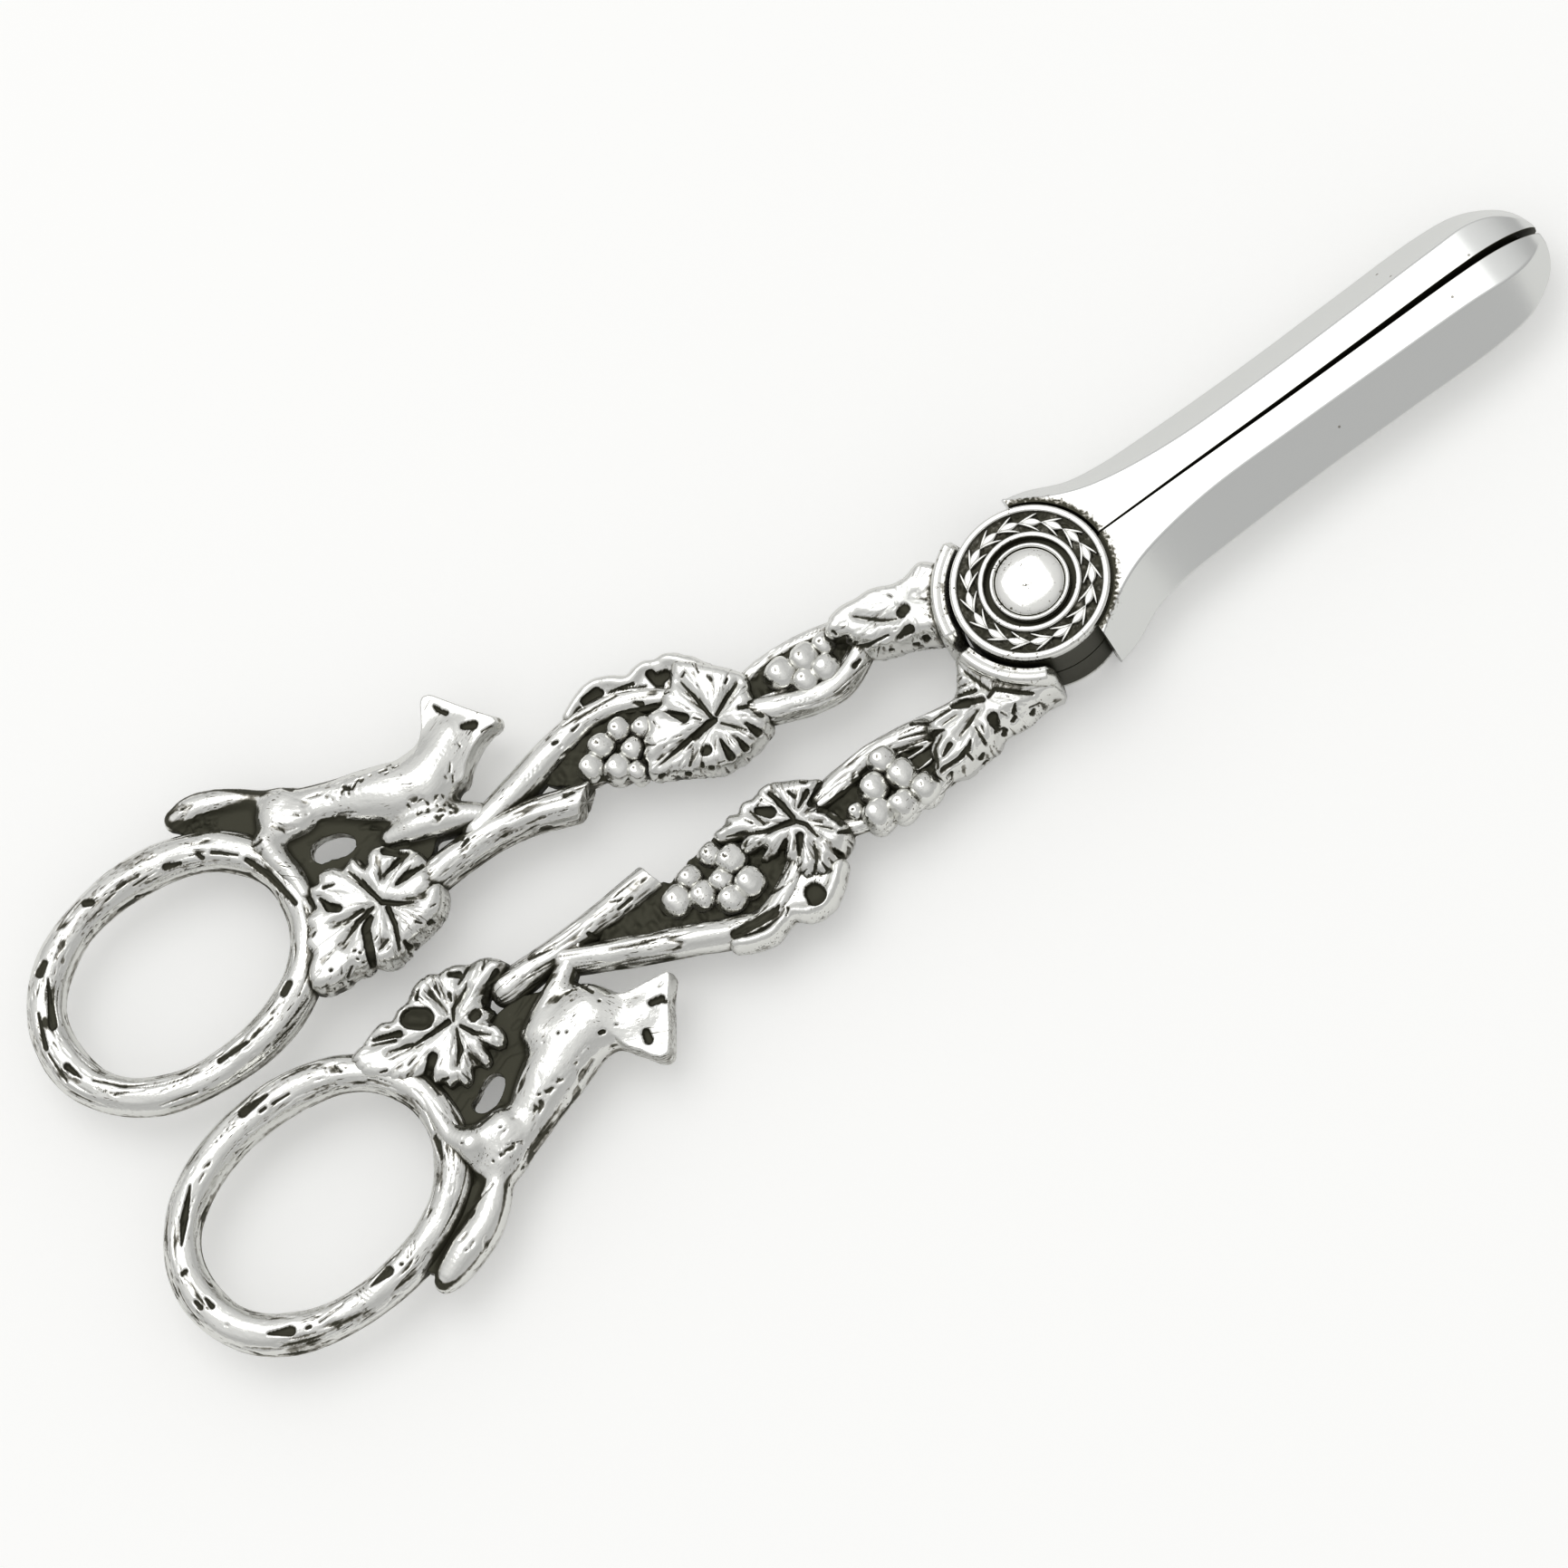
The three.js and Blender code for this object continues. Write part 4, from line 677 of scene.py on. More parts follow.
                (-73.9, -1.9, -72.6, -3.2, 0.2, 0.06), (-74.9, 0.5, -74.2, 1.6, 0.12, 0.18),
                (-74.2, 1.6, -71.9, 2.6, 0.16, 0.06), (-74.9, 1.6, -75.3, 4.4, 0.06, 0.12),
                (-74.4, 4.8, -74.6, 3.4, 0.12, 0.06), (-73.7, 3.2, -73.9, 2.4, 0.22, 0.12),
                (-72.5, 5, -71.7, 4.3, 0.3, 0.42), (-70.3, 4.4, -72.3, 3.4, 0.18, 0.08),
                (-68.4, 2, -69.8, 1.4, 0.34, 0.12), (-68.6, 4, -69.4, 3.2, 0.12, 0.08),
                (-71.2, 0.1, -70, 1, 0.22, 0.12), (-70, 1, -67.2, 0.8, 0.12, 0.3),
                (-71.3, -0.5, -70.6, -1.8, 0.28, 0.34), (-72.1, -2.3, -71.2, -2.4, 0.12, 0.1),
                (-84.2, 0.6, -83.5, 0.4, 0.14, 0.14), (-81.3, -0.5, -80.2, -0.2, 0.12, 0.1),
                (-75.5, -3.5, -75.4, -5, 0.1, 0.16), (-77.2, -4.8, -77, -5.9, 0.1, 0.1),
                (-79.4, -4.2, -78.8, -4.3, 0.12, 0.16), (-73.8, -2.8, -73.5, -3.9, 0.08, 0.14),
                (-76, 5.6, -76.8, 4.9, 0.12, 0.2),
            ],
        },
        "fox": {
            "body": [
                (-80.5, -14.4, 2.2), (-78, -14, 3), (-75, -13.6, 2.6), (-72, -12, 3.1), (-69, -10.6, 3.6),
                (-66, -9.3, 3.8), (-63.4, -8.6, 3.5),
            ],
            "tail": [
                (-78.6, -15.4, 2.1), (-80.6, -16.8, 1.5), (-82.6, -18.6, 1.7), (-85, -20.1, 1.95),
                (-88, -21.2, 1.95), (-90.2, -22, 1.55), (-91.1, -22.3, 1.15),
            ],
            "hind_leg": [
                (-80.8, -12.4, 2.1), (-81.9, -10.3, 1.65), (-81.9, -8, 1.45), (-81.8, -5.5, 1.35),
                (-82, -3.8, 1.2),
            ],
            "thigh": [(-80.5, -12.6, 2.1), (-77, -12.8, 2.3)],
            "fore_leg": [
                (-68.6, -6.8, 2.1), (-66.5, -5.2, 1.8), (-64, -3.6, 1.5), (-61.5, -2, 1.3),
                (-59.5, -0.8, 1.1),
            ],
            "chest": [(-67, -7.9, 3), (-63.8, -6.9, 2.7)],
            "neck": [(-63, -9, 3.2), (-60.6, -11.2, 2.6), (-58.9, -12.2, 2.3)],
            "snout": [(-58.6, -11.8, 2.1), (-56, -11, 1.4), (-54.5, -10.4, 0.75)],
            "mask": [
                (-61.9, -13.5), (-61, -14.9), (-60.2, -16.3), (-59.6, -16.9), (-58.8, -17), (-58.2, -16.4),
                (-57, -14.7), (-55.5, -12.3), (-54, -10.3), (-53.8, -9.8), (-56, -9.3), (-58.5, -8.9),
                (-60.3, -8.5), (-61.6, -11),
            ],
            "tail_web": [
                (-92, -20.5), (-88, -21.6), (-83, -18.5), (-79.5, -16), (-81, -13), (-85, -14),
                (-90, -17.6),
            ],
            "belly_web": [
                (-81, -12), (-81, -4), (-76, -3), (-70, -2), (-66, -3), (-67, -7), (-72, -10.5), (-76, -12),
            ],
            "belly_hole": [
                (-78.4, -8.7), (-77.5, -8.3), (-76.3, -7.6), (-75.2, -7.2), (-74.4, -7.5), (-74.2, -8.4),
                (-75, -9.3), (-76.3, -10), (-77.5, -10.1), (-78.3, -9.6),
            ],
            "marks": [
                (-57.1, -10.8, -56.1, -11.1, 0.4, 0.42), (-56, -11.5, -55.8, -11.7, 0.22, 0.18),
                (-59.4, -13.1, -59.6, -13.9, 0.42, 0.5), (-66.8, -7.4, -66.7, -7.4, 0.16, 0.16),
                (-66, -7.9, -65.9, -7.9, 0.14, 0.14), (-61.4, -7.2, -61.3, -7.3, 0.14, 0.14),
                (-63.2, -10.2, -62.9, -10.3, 0.28, 0.28), (-55.6, -9.85, -54.9, -9.8, 0.1, 0.07),
                (-91.6, -21.9, -91.5, -21.9, 0.14, 0.14), (-74.5, -15.4, -74.3, -15.4, 0.16, 0.12),
                (-72.1, -11.6, -71.9, -11.7, 0.14, 0.12), (-61.5, -10.4, -61.3, -10.6, 0.12, 0.1),
                (-77.8, -14, -76.2, -14.7, 0.06, 0.12), (-77.3, -12, -77.1, -12.1, 0.1, 0.1),
                (-81.5, -10.9, -81.3, -11, 0.12, 0.1), (-85.6, -12.4, -83.6, -12.2, 0.07, 0.05),
                (-62.2, -4, -61.4, -6, 0.12, 0.22), (-85.8, -17.6, -81.2, -16.6, 0.05, 0.08),
                (-87.4, -20.7, -87.2, -20.8, 0.14, 0.1), (-68.6, -7.3, -68.5, -7.3, 0.1, 0.1),
            ],
            "specks": [
                (-73.4, -12.8, -70.4, -11.7, 0.6), (-70.4, -11.7, -65, -10.9, 0.75),
                (-63.8, -4.8, -62, -4.9, 0.8), (-79.8, -14.5, -77.5, -14.6, 0.4),
            ],
        },
        "cut_cane": [
            (-68.5, -0.4, 1.95), (-64, -0.3, 1.75), (-60, -0.3, 1.66), (-55, -0.2, 1.75), (-51.5, 0, 1.85),
            (-48.5, 0.1, 1.9),
        ],
        "cane_cut": ((-49.5, 0, 0), (0.96, 0.28, 0)),
        "cut_cane_marks": [
            (-54.3, -0.4, -52.6, -0.3, 0.18, 0.22), (-58.3, -0.6, -57.9, -1.5, 0.25, 0.15),
            (-54.6, 0.9, -53.5, 0.3, 0.1, 0.08), (-64.8, 1.1, -62, 0.4, 0.2, 0.1),
            (-57, -1.4, -55.6, -1.5, 0.08, 0.06), (-53.9, -1.1, -53.4, -1.1, 0.09, 0.09),
            (-66.5, -0.2, -62.8, -0.7, 0.08, 0.15),
        ],
        "outer_shoot": [
            (-62, -1.6, 1.6), (-58.5, -3.6, 1.65), (-54, -6, 1.7), (-50, -8, 1.7), (-46, -10.1, 1.7),
            (-43, -11.2, 1.65), (-40, -10.5, 1.6), (-37, -8.8, 1.6), (-35.4, -7.5, 1.5),
        ],
        "outer_shoot_marks": [
            (-44.2, -8, -43.6, -8, 0.5, 0.42), (-57.5, -3.4, -53, -5.4, 0.12, 0.12),
            (-52.5, -4, -48.5, -6.6, 0.12, 0.16), (-46, -10.2, -41.5, -10.8, 0.55, 0.6),
            (-41.5, -10.8, -40.6, -10.5, 0.5, 0.12), (-42.5, -8.6, -38, -9.2, 0.14, 0.1),
            (-42.5, -7.4, -38.5, -7.9, 0.1, 0.1),
        ],
        "tendril": [
            (-46.5, -11.5, 0.85), (-45, -12.3, 0.9), (-43, -12.9, 0.9), (-41, -12.4, 0.8),
            (-39.9, -12.3, 0.8), (-38.6, -13.3, 0.95), (-36.7, -13.6, 0.95), (-34.9, -12.8, 0.9),
            (-33, -11.2, 0.8),
        ],
        "tendril_web": [
            [(-40.5, -11), (-38.5, -13), (-36, -13.2), (-33.5, -11), (-35, -9.5), (-38.5, -9.6)],
        ],
        "tendril_marks": [
            (-36.9, -12, -36.9, -11.5, 1.05, 1), (-42.1, -11.3, -40.4, -10.8, 0.1, 0.12),
            (-40.6, -11.9, -40, -11.2, 0.1, 0.16),
        ],
        "cane_grapes": [
            (-48.9, -4, 1.4), (-46.4, -5.1, 1.3), (-43.9, -5, 1.2), (-46.5, -2.6, 1.1), (-43.3, -1.9, 1.1),
            (-42, -3.7, 1.4), (-44.2, -7.3, 1.35), (-41.7, -7, 1.4),
        ],
        "cane_grape_bed": [
            (-58, -2), (-50.5, -1.2), (-47.5, -1.4), (-42.5, -0.6), (-39.5, -2), (-37, -8), (-42.5, -10.2),
            (-47, -9), (-52, -6), (-58, -3.6),
        ],
        "cane_leaf": {
            "hub": (-34, -4.9),
            "rim": [
                (-41.9, -0.2), (-40.3, 0), (-39.9, 0.4), (-39.2, 0.5), (-38.5, 0.1), (-38.1, 0.5),
                (-37.3, 0.8), (-36.4, 0.5), (-35.6, 0.8), (-34.7, 0.9), (-33.7, 0.7), (-32.6, 0),
                (-31.4, -0.7), (-30.2, -1.7), (-29.4, -2.3), (-29.6, -2.9), (-30.4, -3.5), (-31.2, -4),
                (-30.7, -5.2), (-30.2, -6.6), (-29.9, -8.6), (-30.3, -9.2), (-31.3, -9.9), (-32.6, -10.6),
                (-33.4, -11), (-34.4, -11.3), (-35.5, -10.9), (-36.7, -10.3), (-37.2, -9), (-36.8, -8.1),
                (-37.4, -7.2), (-37.1, -6.4), (-38.3, -6.2), (-39.4, -6), (-39.5, -5.5), (-38.5, -4.9),
                (-38.6, -4.6), (-40.1, -4.4), (-40.5, -3.8), (-40.3, -3.1), (-39.7, -2.6), (-40.7, -2.2),
                (-41.8, -1.6),
            ],
            "marks": [
                (-34.3, -3.9, -37, -3.1, 0.32, 0.2), (-37, -3.1, -40.8, -1, 0.2, 0.07),
                (-34.2, -3.9, -33.4, -5, 0.18, 0.2), (-33.4, -5, -33.2, -6.8, 0.2, 0.1),
                (-33.8, -7, -34.7, -8.9, 0.07, 0.12), (-34.7, -8.9, -35.9, -10.1, 0.12, 0.14),
                (-36.7, -0.6, -35.7, -1.6, 0.33, 0.6), (-34.6, 0.3, -34.3, -1.5, 0.12, 0.28),
                (-34.3, -1.5, -34.1, -3.6, 0.28, 0.22), (-37.3, -0.2, -36.9, -2.2, 0.08, 0.14),
                (-33, -3, -31.4, -2.2, 0.1, 0.3), (-31.8, -3.5, -29.9, -2.4, 0.32, 0.26),
                (-31.2, -0.8, -31, -1.1, 0.2, 0.22), (-32.8, -3.95, -31.6, -3.9, 0.06, 0.1),
                (-34.6, -5.6, -35.9, -7.3, 0.36, 0.1), (-36.1, -5.1, -37.2, -6, 0.16, 0.36),
                (-38.4, -4.6, -40, -4.9, 0.1, 0.2), (-39.9, -2.9, -39.4, -2.6, 0.22, 0.14),
                (-31.5, -4.6, -31, -4.9, 0.24, 0.2), (-31, -4.9, -30.4, -6.8, 0.18, 0.2),
                (-33, -4.7, -32, -5.9, 0.05, 0.12), (-32.9, -5.5, -31.5, -7, 0.05, 0.1),
                (-31.2, -7.8, -30.3, -8.4, 0.18, 0.34), (-32.6, -9, -32.4, -10.2, 0.1, 0.34),
                (-34.4, -9.5, -34.3, -10.6, 0.1, 0.18), (-33.6, -9.5, -33.5, -10.8, 0.1, 0.1),
                (-36.9, -9.2, -36, -9.1, 0.14, 0.08), (-37.1, -8.4, -36.2, -8.1, 0.12, 0.1),
                (-32.9, -0.9, -32.7, -1.8, 0.12, 0.2), (-35.6, 0.2, -36.4, -0.2, 0.08, 0.1),
                (-38.2, -0.6, -37.8, -1.4, 0.08, 0.12),
            ],
        },
        "forked_shoots": [
            [
                (-31, -4, 1.3), (-28, -3.6, 1.4), (-24, -3.3, 1.35), (-20, -3.9, 1.45), (-17, -5, 1.6),
                (-15, -6.5, 1.6),
            ],
            [
                (-31, -7.8, 1.05), (-28, -9, 0.98), (-25, -10, 0.98), (-21, -10.3, 1.05), (-17.5, -9, 1.28),
                (-15, -6.5, 1.5),
            ],
        ],
        "sprouts": [
            [(-31, -4.8, 0.6), (-28.5, -4.7, 0.65), (-26.2, -4.6, 0.45)],
            [(-22.6, -4.9, 0.3), (-20.5, -5.3, 0.35), (-18.2, -6.1, 0.45)],
            [(-21.7, -6.2, 0.35), (-19.5, -6.4, 0.35), (-17.8, -6.5, 0.45)],
            [(-21.2, -7.9, 0.25), (-18.9, -7.9, 0.35)],
        ],
        "forked_shoots_marks": [
            (-30, -4.6, -26.5, -4.7, 0.1, 0.14), (-20.5, -3.5, -18, -4.6, 0.14, 0.16),
            (-22, -2.9, -18.6, -3.4, 0.07, 0.06),
        ],
        "fork_grapes": [
            (-23.2, -4.7, 1.25), (-25.6, -6.7, 1.4), (-22.5, -7.3, 1.4), (-28.5, -7.5, 0.8),
            (-26.8, -9.2, 1.4), (-24.2, -9.9, 1.3), (-21.2, -9.9, 1.3),
        ],
        "fork_grape_bed": [
            (-31, -5), (-27, -3.8), (-20, -4.3), (-17.5, -6.5), (-19, -9.8), (-24, -10.6), (-29, -9.2),
        ],
        "shoulder_leaf": {
            "hub": (-10.8, -6.9),
            "rim": [
                (-18.9, -3.1), (-17, -3.4), (-15, -3.8), (-13.6, -3.9), (-13, -3.5), (-12.3, -2.7),
                (-11.5, -1.6), (-10.9, -0.6), (-9, -0.5), (-5, -6), (-4.2, -10.2), (-5, -10), (-8, -9.8),
                (-9.6, -9.4), (-10.3, -9.5), (-11.4, -9.8), (-12.4, -10.3), (-13.4, -10.7), (-14.5, -10.5),
                (-15.5, -10.7), (-17, -10.8), (-18, -10.4), (-19.4, -10.3), (-19.6, -9.2), (-19, -8.4),
                (-18.6, -7.1), (-17.4, -6.1), (-17.8, -5.2), (-17.4, -4.4),
            ],
            "core": [(-17, -7.8, 2), (-13, -7.3, 2.8), (-8.8, -7.3, 3.6)],
            "marks": [
                (-13.9, -4, -12.6, -4.7, 0.32, 0.46), (-12, -4.9, -11.2, -5.3, 0.42, 0.42),
                (-12.6, -2.6, -11.2, -3, 0.1, 0.1), (-13, -3.4, -11.2, -4.1, 0.22, 0.22),
                (-12.2, -2.1, -11.6, -2, 0.14, 0.14), (-11.4, -7.7, -11.6, -8.9, 0.56, 0.34),
                (-12, -9.2, -11, -9.5, 0.18, 0.1), (-11.4, -10, -11.1, -9.8, 0.28, 0.28),
                (-9.9, -9.4, -9.5, -9.2, 0.28, 0.24), (-7.8, -10, -7.5, -9.8, 0.28, 0.24),
                (-14.8, -10.6, -14.4, -10.4, 0.28, 0.2), (-18.6, -10.2, -18.2, -10, 0.28, 0.2),
                (-7.7, -9.3, -6.7, -9.5, 0.14, 0.07), (-10.4, -5.5, -9.5, -5.2, 0.24, 0.24),
                (-9.5, -5.2, -6.6, -8.2, 0.2, 0.18), (-9.9, -6, -8.6, -7, 0.06, 0.06),
                (-9.3, -8.7, -8.7, -7.9, 0.28, 0.12), (-10.4, -7.8, -10.1, -8.6, 0.14, 0.1),
                (-11.9, -5.95, -13.6, -6.6, 0.06, 0.14), (-13.6, -6.6, -15.3, -7.1, 0.13, 0.05),
                (-17.8, -7.8, -16.6, -7.3, 0.14, 0.26), (-19, -9.2, -16.5, -9.2, 0.32, 0.28),
                (-16.5, -9.2, -15.4, -8.8, 0.32, 0.36), (-15.4, -9, -14.6, -8.2, 0.36, 0.12),
                (-15.7, -9.4, -15.6, -10.2, 0.22, 0.14), (-17.2, -5.3, -16.3, -5.5, 0.32, 0.18),
                (-16, -5, -14.2, -5.05, 0.08, 0.1), (-17.8, -3.9, -14.5, -4.1, 0.1, 0.18),
                (-16.8, -5.9, -18.2, -6.6, 0.12, 0.22), (-18.2, -6.6, -19.1, -8.4, 0.22, 0.26),
                (-13.4, -7.4, -13.6, -9.7, 0.1, 0.22), (-12.9, -7.6, -13.1, -8.4, 0.13, 0.1),
                (-10.9, -1.7, -10, -5, 0.1, 0.14),
            ],
        },
        "collar": (186, 248.5),
    },
}


def ring_rows(arm):
    """A finger ring's egg-shaped loop, in wire whose thickness varies a little."""
    x, y, long, short, tilt = ARMS[arm]["finger_ring"]
    turn = math.radians(tilt)
    rows = []
    for angle in (step / 48 * 2 * math.pi for step in range(48)):
        a, b = (
            math.copysign(abs(way) ** 0.93, way) * half
            for way, half in ((math.cos(angle), long), (math.sin(angle), short))
        )
        wire = 2.15 + 0.1 * math.sin(3 * angle + x) + 0.06 * math.sin(7 * angle + y)
        place = (x + a * math.cos(turn) - b * math.sin(turn), y + a * math.sin(turn) + b * math.cos(turn))
        rows.append((*place, wire))
    return rows


def leaf_clay(leaf, seed, thick=2.6, roll=0.55, folds=0.5):
    """A vine leaf: a domed sheet with a rolled rim, which sinks along its veins."""
    low, high = np.min(leaf["rim"], 0), np.max(leaf["rim"], 0)
    clay = Clay((*(low - 1.8), -thick - 1), (*(high + 1.2), thick + 1))
    x, y, z = clay.whole()
    x, y = np.broadcast_arrays(x[:, :, 0], y[:, :, 0])
    inside = -edge_distance(x, y, [(a, b - 0.2 * SLANT * thick) for a, b in leaf["rim"]])
    t = np.clip(inside / (roll * thick), 0, 1)
    height = thick * (0.36 + 0.64 * np.sqrt(t * (2 - t)))
    sunk = np.zeros_like(height)
    for x0, y0, x1, y1 in (mark[:4] for mark in leaf["marks"]):
        dx, dy = x1 - x0, y1 - y0
        if math.hypot(dx, dy) > 1.2:
            away = off_line(x - x0, y - y0 + 0.85 * SLANT * thick, 0, 0, dx, dy)[1]
            sunk = np.maximum(sunk, 0.42 * np.exp(-((away / 0.6) ** 2)))
    hub_x, hub_y = leaf["hub"]
    bearing, radius = np.arctan2(y - hub_y, x - hub_x), np.hypot(x - hub_x, y - hub_y)
    waves = np.stack([np.cos(bearing) * 3.4 + 9, np.sin(bearing) * 3.4 + 9, radius * 0.16], -1)
    waves = (clouds(waves.reshape(-1, 3), seed) - 0.5).reshape(x.shape)
    height += folds * waves * soft_step(0.5, 3, radius) - sunk
    height = np.where(inside > 0, np.maximum(height, 0.3), 0.36 * thick + 6 * inside)
    slope = np.gradient(height, CELL)
    steep = np.minimum(np.sqrt(1 + slope[0] ** 2 + slope[1] ** 2), 6)
    clay.field[...] = (np.abs(z) - height[:, :, None]) / steep[:, :, None]
    return clay


def fox_clay(fox):
    """A fox of rods, each flatter or rounder than its neighbour, with its mask and webs."""
    return fused(
        (rod(fox["body"], 0.88), 0.0),
        (rod(fox["neck"], 0.8), 1.4),
        (rod(fox["tail"], 1.05), 1.0),
        (rod(fox["thigh"], 1.3), 0.9),
        (rod(fox["hind_leg"], 1.6), 0.7),
        (rod(fox.get("chest", fox["neck"]), 0.95), 1.2),
        (rod(fox.get("solder", fox["tail"]), 1.05), 0.3),
        (rod(fox["fore_leg"], 1.3), 0.9),
        (slab(fox["mask"], 1.75), 1.1),
        (rod(fox["snout"]), 0.8),
        (slab(fox["tail_web"], 0.7), 0.5),
        (slab(fox["belly_web"], 0.8, fox["belly_hole"]), 0.5),
    )


def bed_clay(outline, seed):
    """The rough ground under a bunch."""
    clay = slab(outline, 0.75)
    x, y = clay.whole()[:2]
    grid = np.stack(np.broadcast_arrays(x, y, np.zeros_like(x)), -1).reshape(-1, 3)
    rough = clouds(grid / 0.7, seed).reshape(clay.field.shape[:2])[:, :, None]
    clay.field -= 0.5 * (rough - 0.5)
    return clay


def berry_rows(berries):
    """Centres and radii of the grapes, on both faces. A grape reaches in under its neighbours, so
    it is a quarter bigger than what shows of it."""
    return [(x, y, 1.25 * r, side * 0.8) for x, y, r in berries for side in (1, -1)]


def cut_off(clay, point, way):
    """Cuts off what lies beyond a plane."""
    way = np.array(way) / np.linalg.norm(way)
    return clay.kept(sum((axis - at) * share for axis, at, share in zip(clay.whole(), point, way)))


@functools.lru_cache(maxsize=None)
def castings(arm):
    """The clay of each casting of an arm."""
    shape = ARMS[arm]
    seed = 3 if arm == "front" else 8
    shoots = [(rod(rows, 1.15), 0.4) for rows in shape["forked_shoots"]]
    shoots += [(rod(rows, 3.6), 0.1) for rows in shape["sprouts"]]
    curl = [(rod(shape["tendril"], 2.1), 0.0)] + [(slab(web, 1.5), 0.5) for web in shape["tendril_web"]]
    leaf = leaf_clay(shape["shoulder_leaf"], seed + 2, 3.6, 0.36, 0.15)
    shoulder = fused((leaf, 0.0), (rod(shape["shoulder_leaf"]["core"], 0.95), 0.5))
    x, y = shoulder.whole()[:2]
    return {
        "finger_ring": rod(ring_rows(arm), loop=True),
        "ring_leaf": leaf_clay(shape["ring_leaf"], seed),
        "fox": fox_clay(shape["fox"]),
        "cut_cane": cut_off(rod(shape["cut_cane"], 1.1), *shape["cane_cut"]),
        "outer_shoot": rod(shape["outer_shoot"], 1.15),
        "cane_leaf": leaf_clay(shape["cane_leaf"], seed + 1),
        "tendril": fused(*curl),
        "cane_grape_bed": bed_clay(shape["cane_grape_bed"], seed),
        "forked_shoots": fused(*shoots),
        "fork_grape_bed": bed_clay(shape["fork_grape_bed"], seed + 4),
        "shoulder_leaf": shoulder.kept(SOCKET + 0.3 - np.hypot(x, y)),
    }


def joint_clay():
    """The pivot's plates, boss, collars and blade roots, only to find the hollows near them."""
    clay = Clay((-13, -13, -6), (20, 13, 7))
    x, y, z = clay.whole()
    out = np.hypot(x, y)
    past_plate, past_blade, past_collar = (np.abs(z) - half for half in (5.2, 4.7, 4.5))
    plates = np.maximum(out - PLATE, past_plate)
    roots = np.maximum(np.maximum(3 - x, np.abs(y) - np.maximum(7.5, 12 - 0.4 * x)), past_blade)
    roots = np.maximum(roots, SOCKET - out)
    bearing = np.degrees(np.arctan2(y, x)) % 360
    band = np.maximum(np.abs(out - SOCKET - COLLAR_WIDTH / 2) - COLLAR_WIDTH / 2, past_collar)
    held = False
    for start, end in (shape["collar"] for shape in ARMS.values()):
        held |= (bearing > start) & (bearing < end)
    clay.field[...] = np.minimum(np.minimum(plates, roots), np.where(held, band, FAR))
    return clay


@functools.lru_cache(maxsize=None)
def hollows():
    """How deep in hollows each spot of the whole object lies, at rest."""
    clays = [clay for arm in ARMS for clay in castings(arm).values()]
    for shape in ARMS.values():
        for x, y, r, z in berry_rows(shape["cane_grapes"] + shape["fork_grapes"]):
            clays.append(rod([(x, y, r, z), (x + 0.01, y, r, z)], margin=0.3))
    return Hollows(clays + [joint_clay()])


def sizes():
    return bpy.context.scene.shears_sizes


def colours():
    return bpy.context.scene.shears_colours


# Chasing: what the tools leave on a skin, with a few dark marks laid where shade falls, which paint that
# shade. Marks read off the top are kept as they are seen along the line of sight, and repeat on the
# underside.


def read_spots(points):
    return points[:, 0], points[:, 1] + SLANT * np.abs(points[:, 2])


def gouged(points, normals, marks, depth):
    """Depth of the tool's cuts at each corner, and of a few dark marks laid where shade falls, which paint
    that shade. A mark runs from a wide end to a narrow end.
    """
    x, y = read_spots(points)
    facing = normals[:, 1] * SIGHT[1] + np.abs(normals[:, 2]) * SIGHT[2]
    total = np.zeros(len(points))
    for *line, w0, w1 in marks:
        t, away = off_line(x, y, *line)
        deep = depth * min(1.0, 0.35 + max(w0, w1) * 1.6)
        total = np.maximum(total, deep * soft_step(BANK / 2, -BANK, away - (w0 + t * (w1 - w0))))
    return total * soft_step(0.05, 0.35, facing)


def pocked(points, rows, seed):
    """Depth of close pits in strips of x, y, x, y, half width."""
    x, y = read_spots(points)
    total = np.zeros(len(points))
    for *line, half in rows:
        total = np.maximum(total, soft_step(half, half * 0.4, off_line(x, y, *line)[1]))
    pits = soft_step(0.55, 0.7, clouds(points / 0.36 + 70, seed))
    return 0.15 * total * (0.2 + pits)


def along_path(points, rows):
    """Each point's run along a path, and its offset across it and up from it."""
    best = np.full(len(points), 1e9)
    run = np.zeros(len(points))
    across = np.zeros(len(points))
    start = 0.0
    for a, b in zip(rows[:, :2], rows[1:, :2]):
        step = b - a
        length = max(np.linalg.norm(step), 1e-9)
        offset = points[:, :2] - a
        t = np.clip(offset @ step / length**2, 0, 1)
        away = ((offset - t[:, None] * step) ** 2).sum(1)
        nearer = away < best
        side = (step[0] * offset[:, 1] - step[1] * offset[:, 0]) / length
        best = np.where(nearer, away, best)
        run = np.where(nearer, start + t * length, run)
        across = np.where(nearer, side, across)
        start += length
    return run, across, points[:, 2]


def bark(run, ring, seed):
    """Depth of lengthwise bark furrows and short strokes on a stem, more on its flanks."""
    scales = [(8, 3.4, 9), (3.1, 4.5, 17), (1.5, 9, 5), (2.4, 1.6, 31)]
    long, short, fine, dents = (
        clouds(np.column_stack([run / length, ring * close + shift]), seed + n)
        for n, (length, close, shift) in enumerate(scales)
    )
    flank = soft_step(0.1, 0.95, np.abs(ring[:, 0]))
    furrow = soft_step(0.07, 0.01, np.abs(long - 0.5)) * soft_step(0.5, 0.68, short + 0.1 * flank)
    stroke = soft_step(0.7, 0.82, fine + 0.05 * flank) * soft_step(0.4, 0.6, long)
    return 0.14 * furrow + 0.1 * stroke + 0.09 * (long - 0.5) + 0.16 * (dents - 0.5)


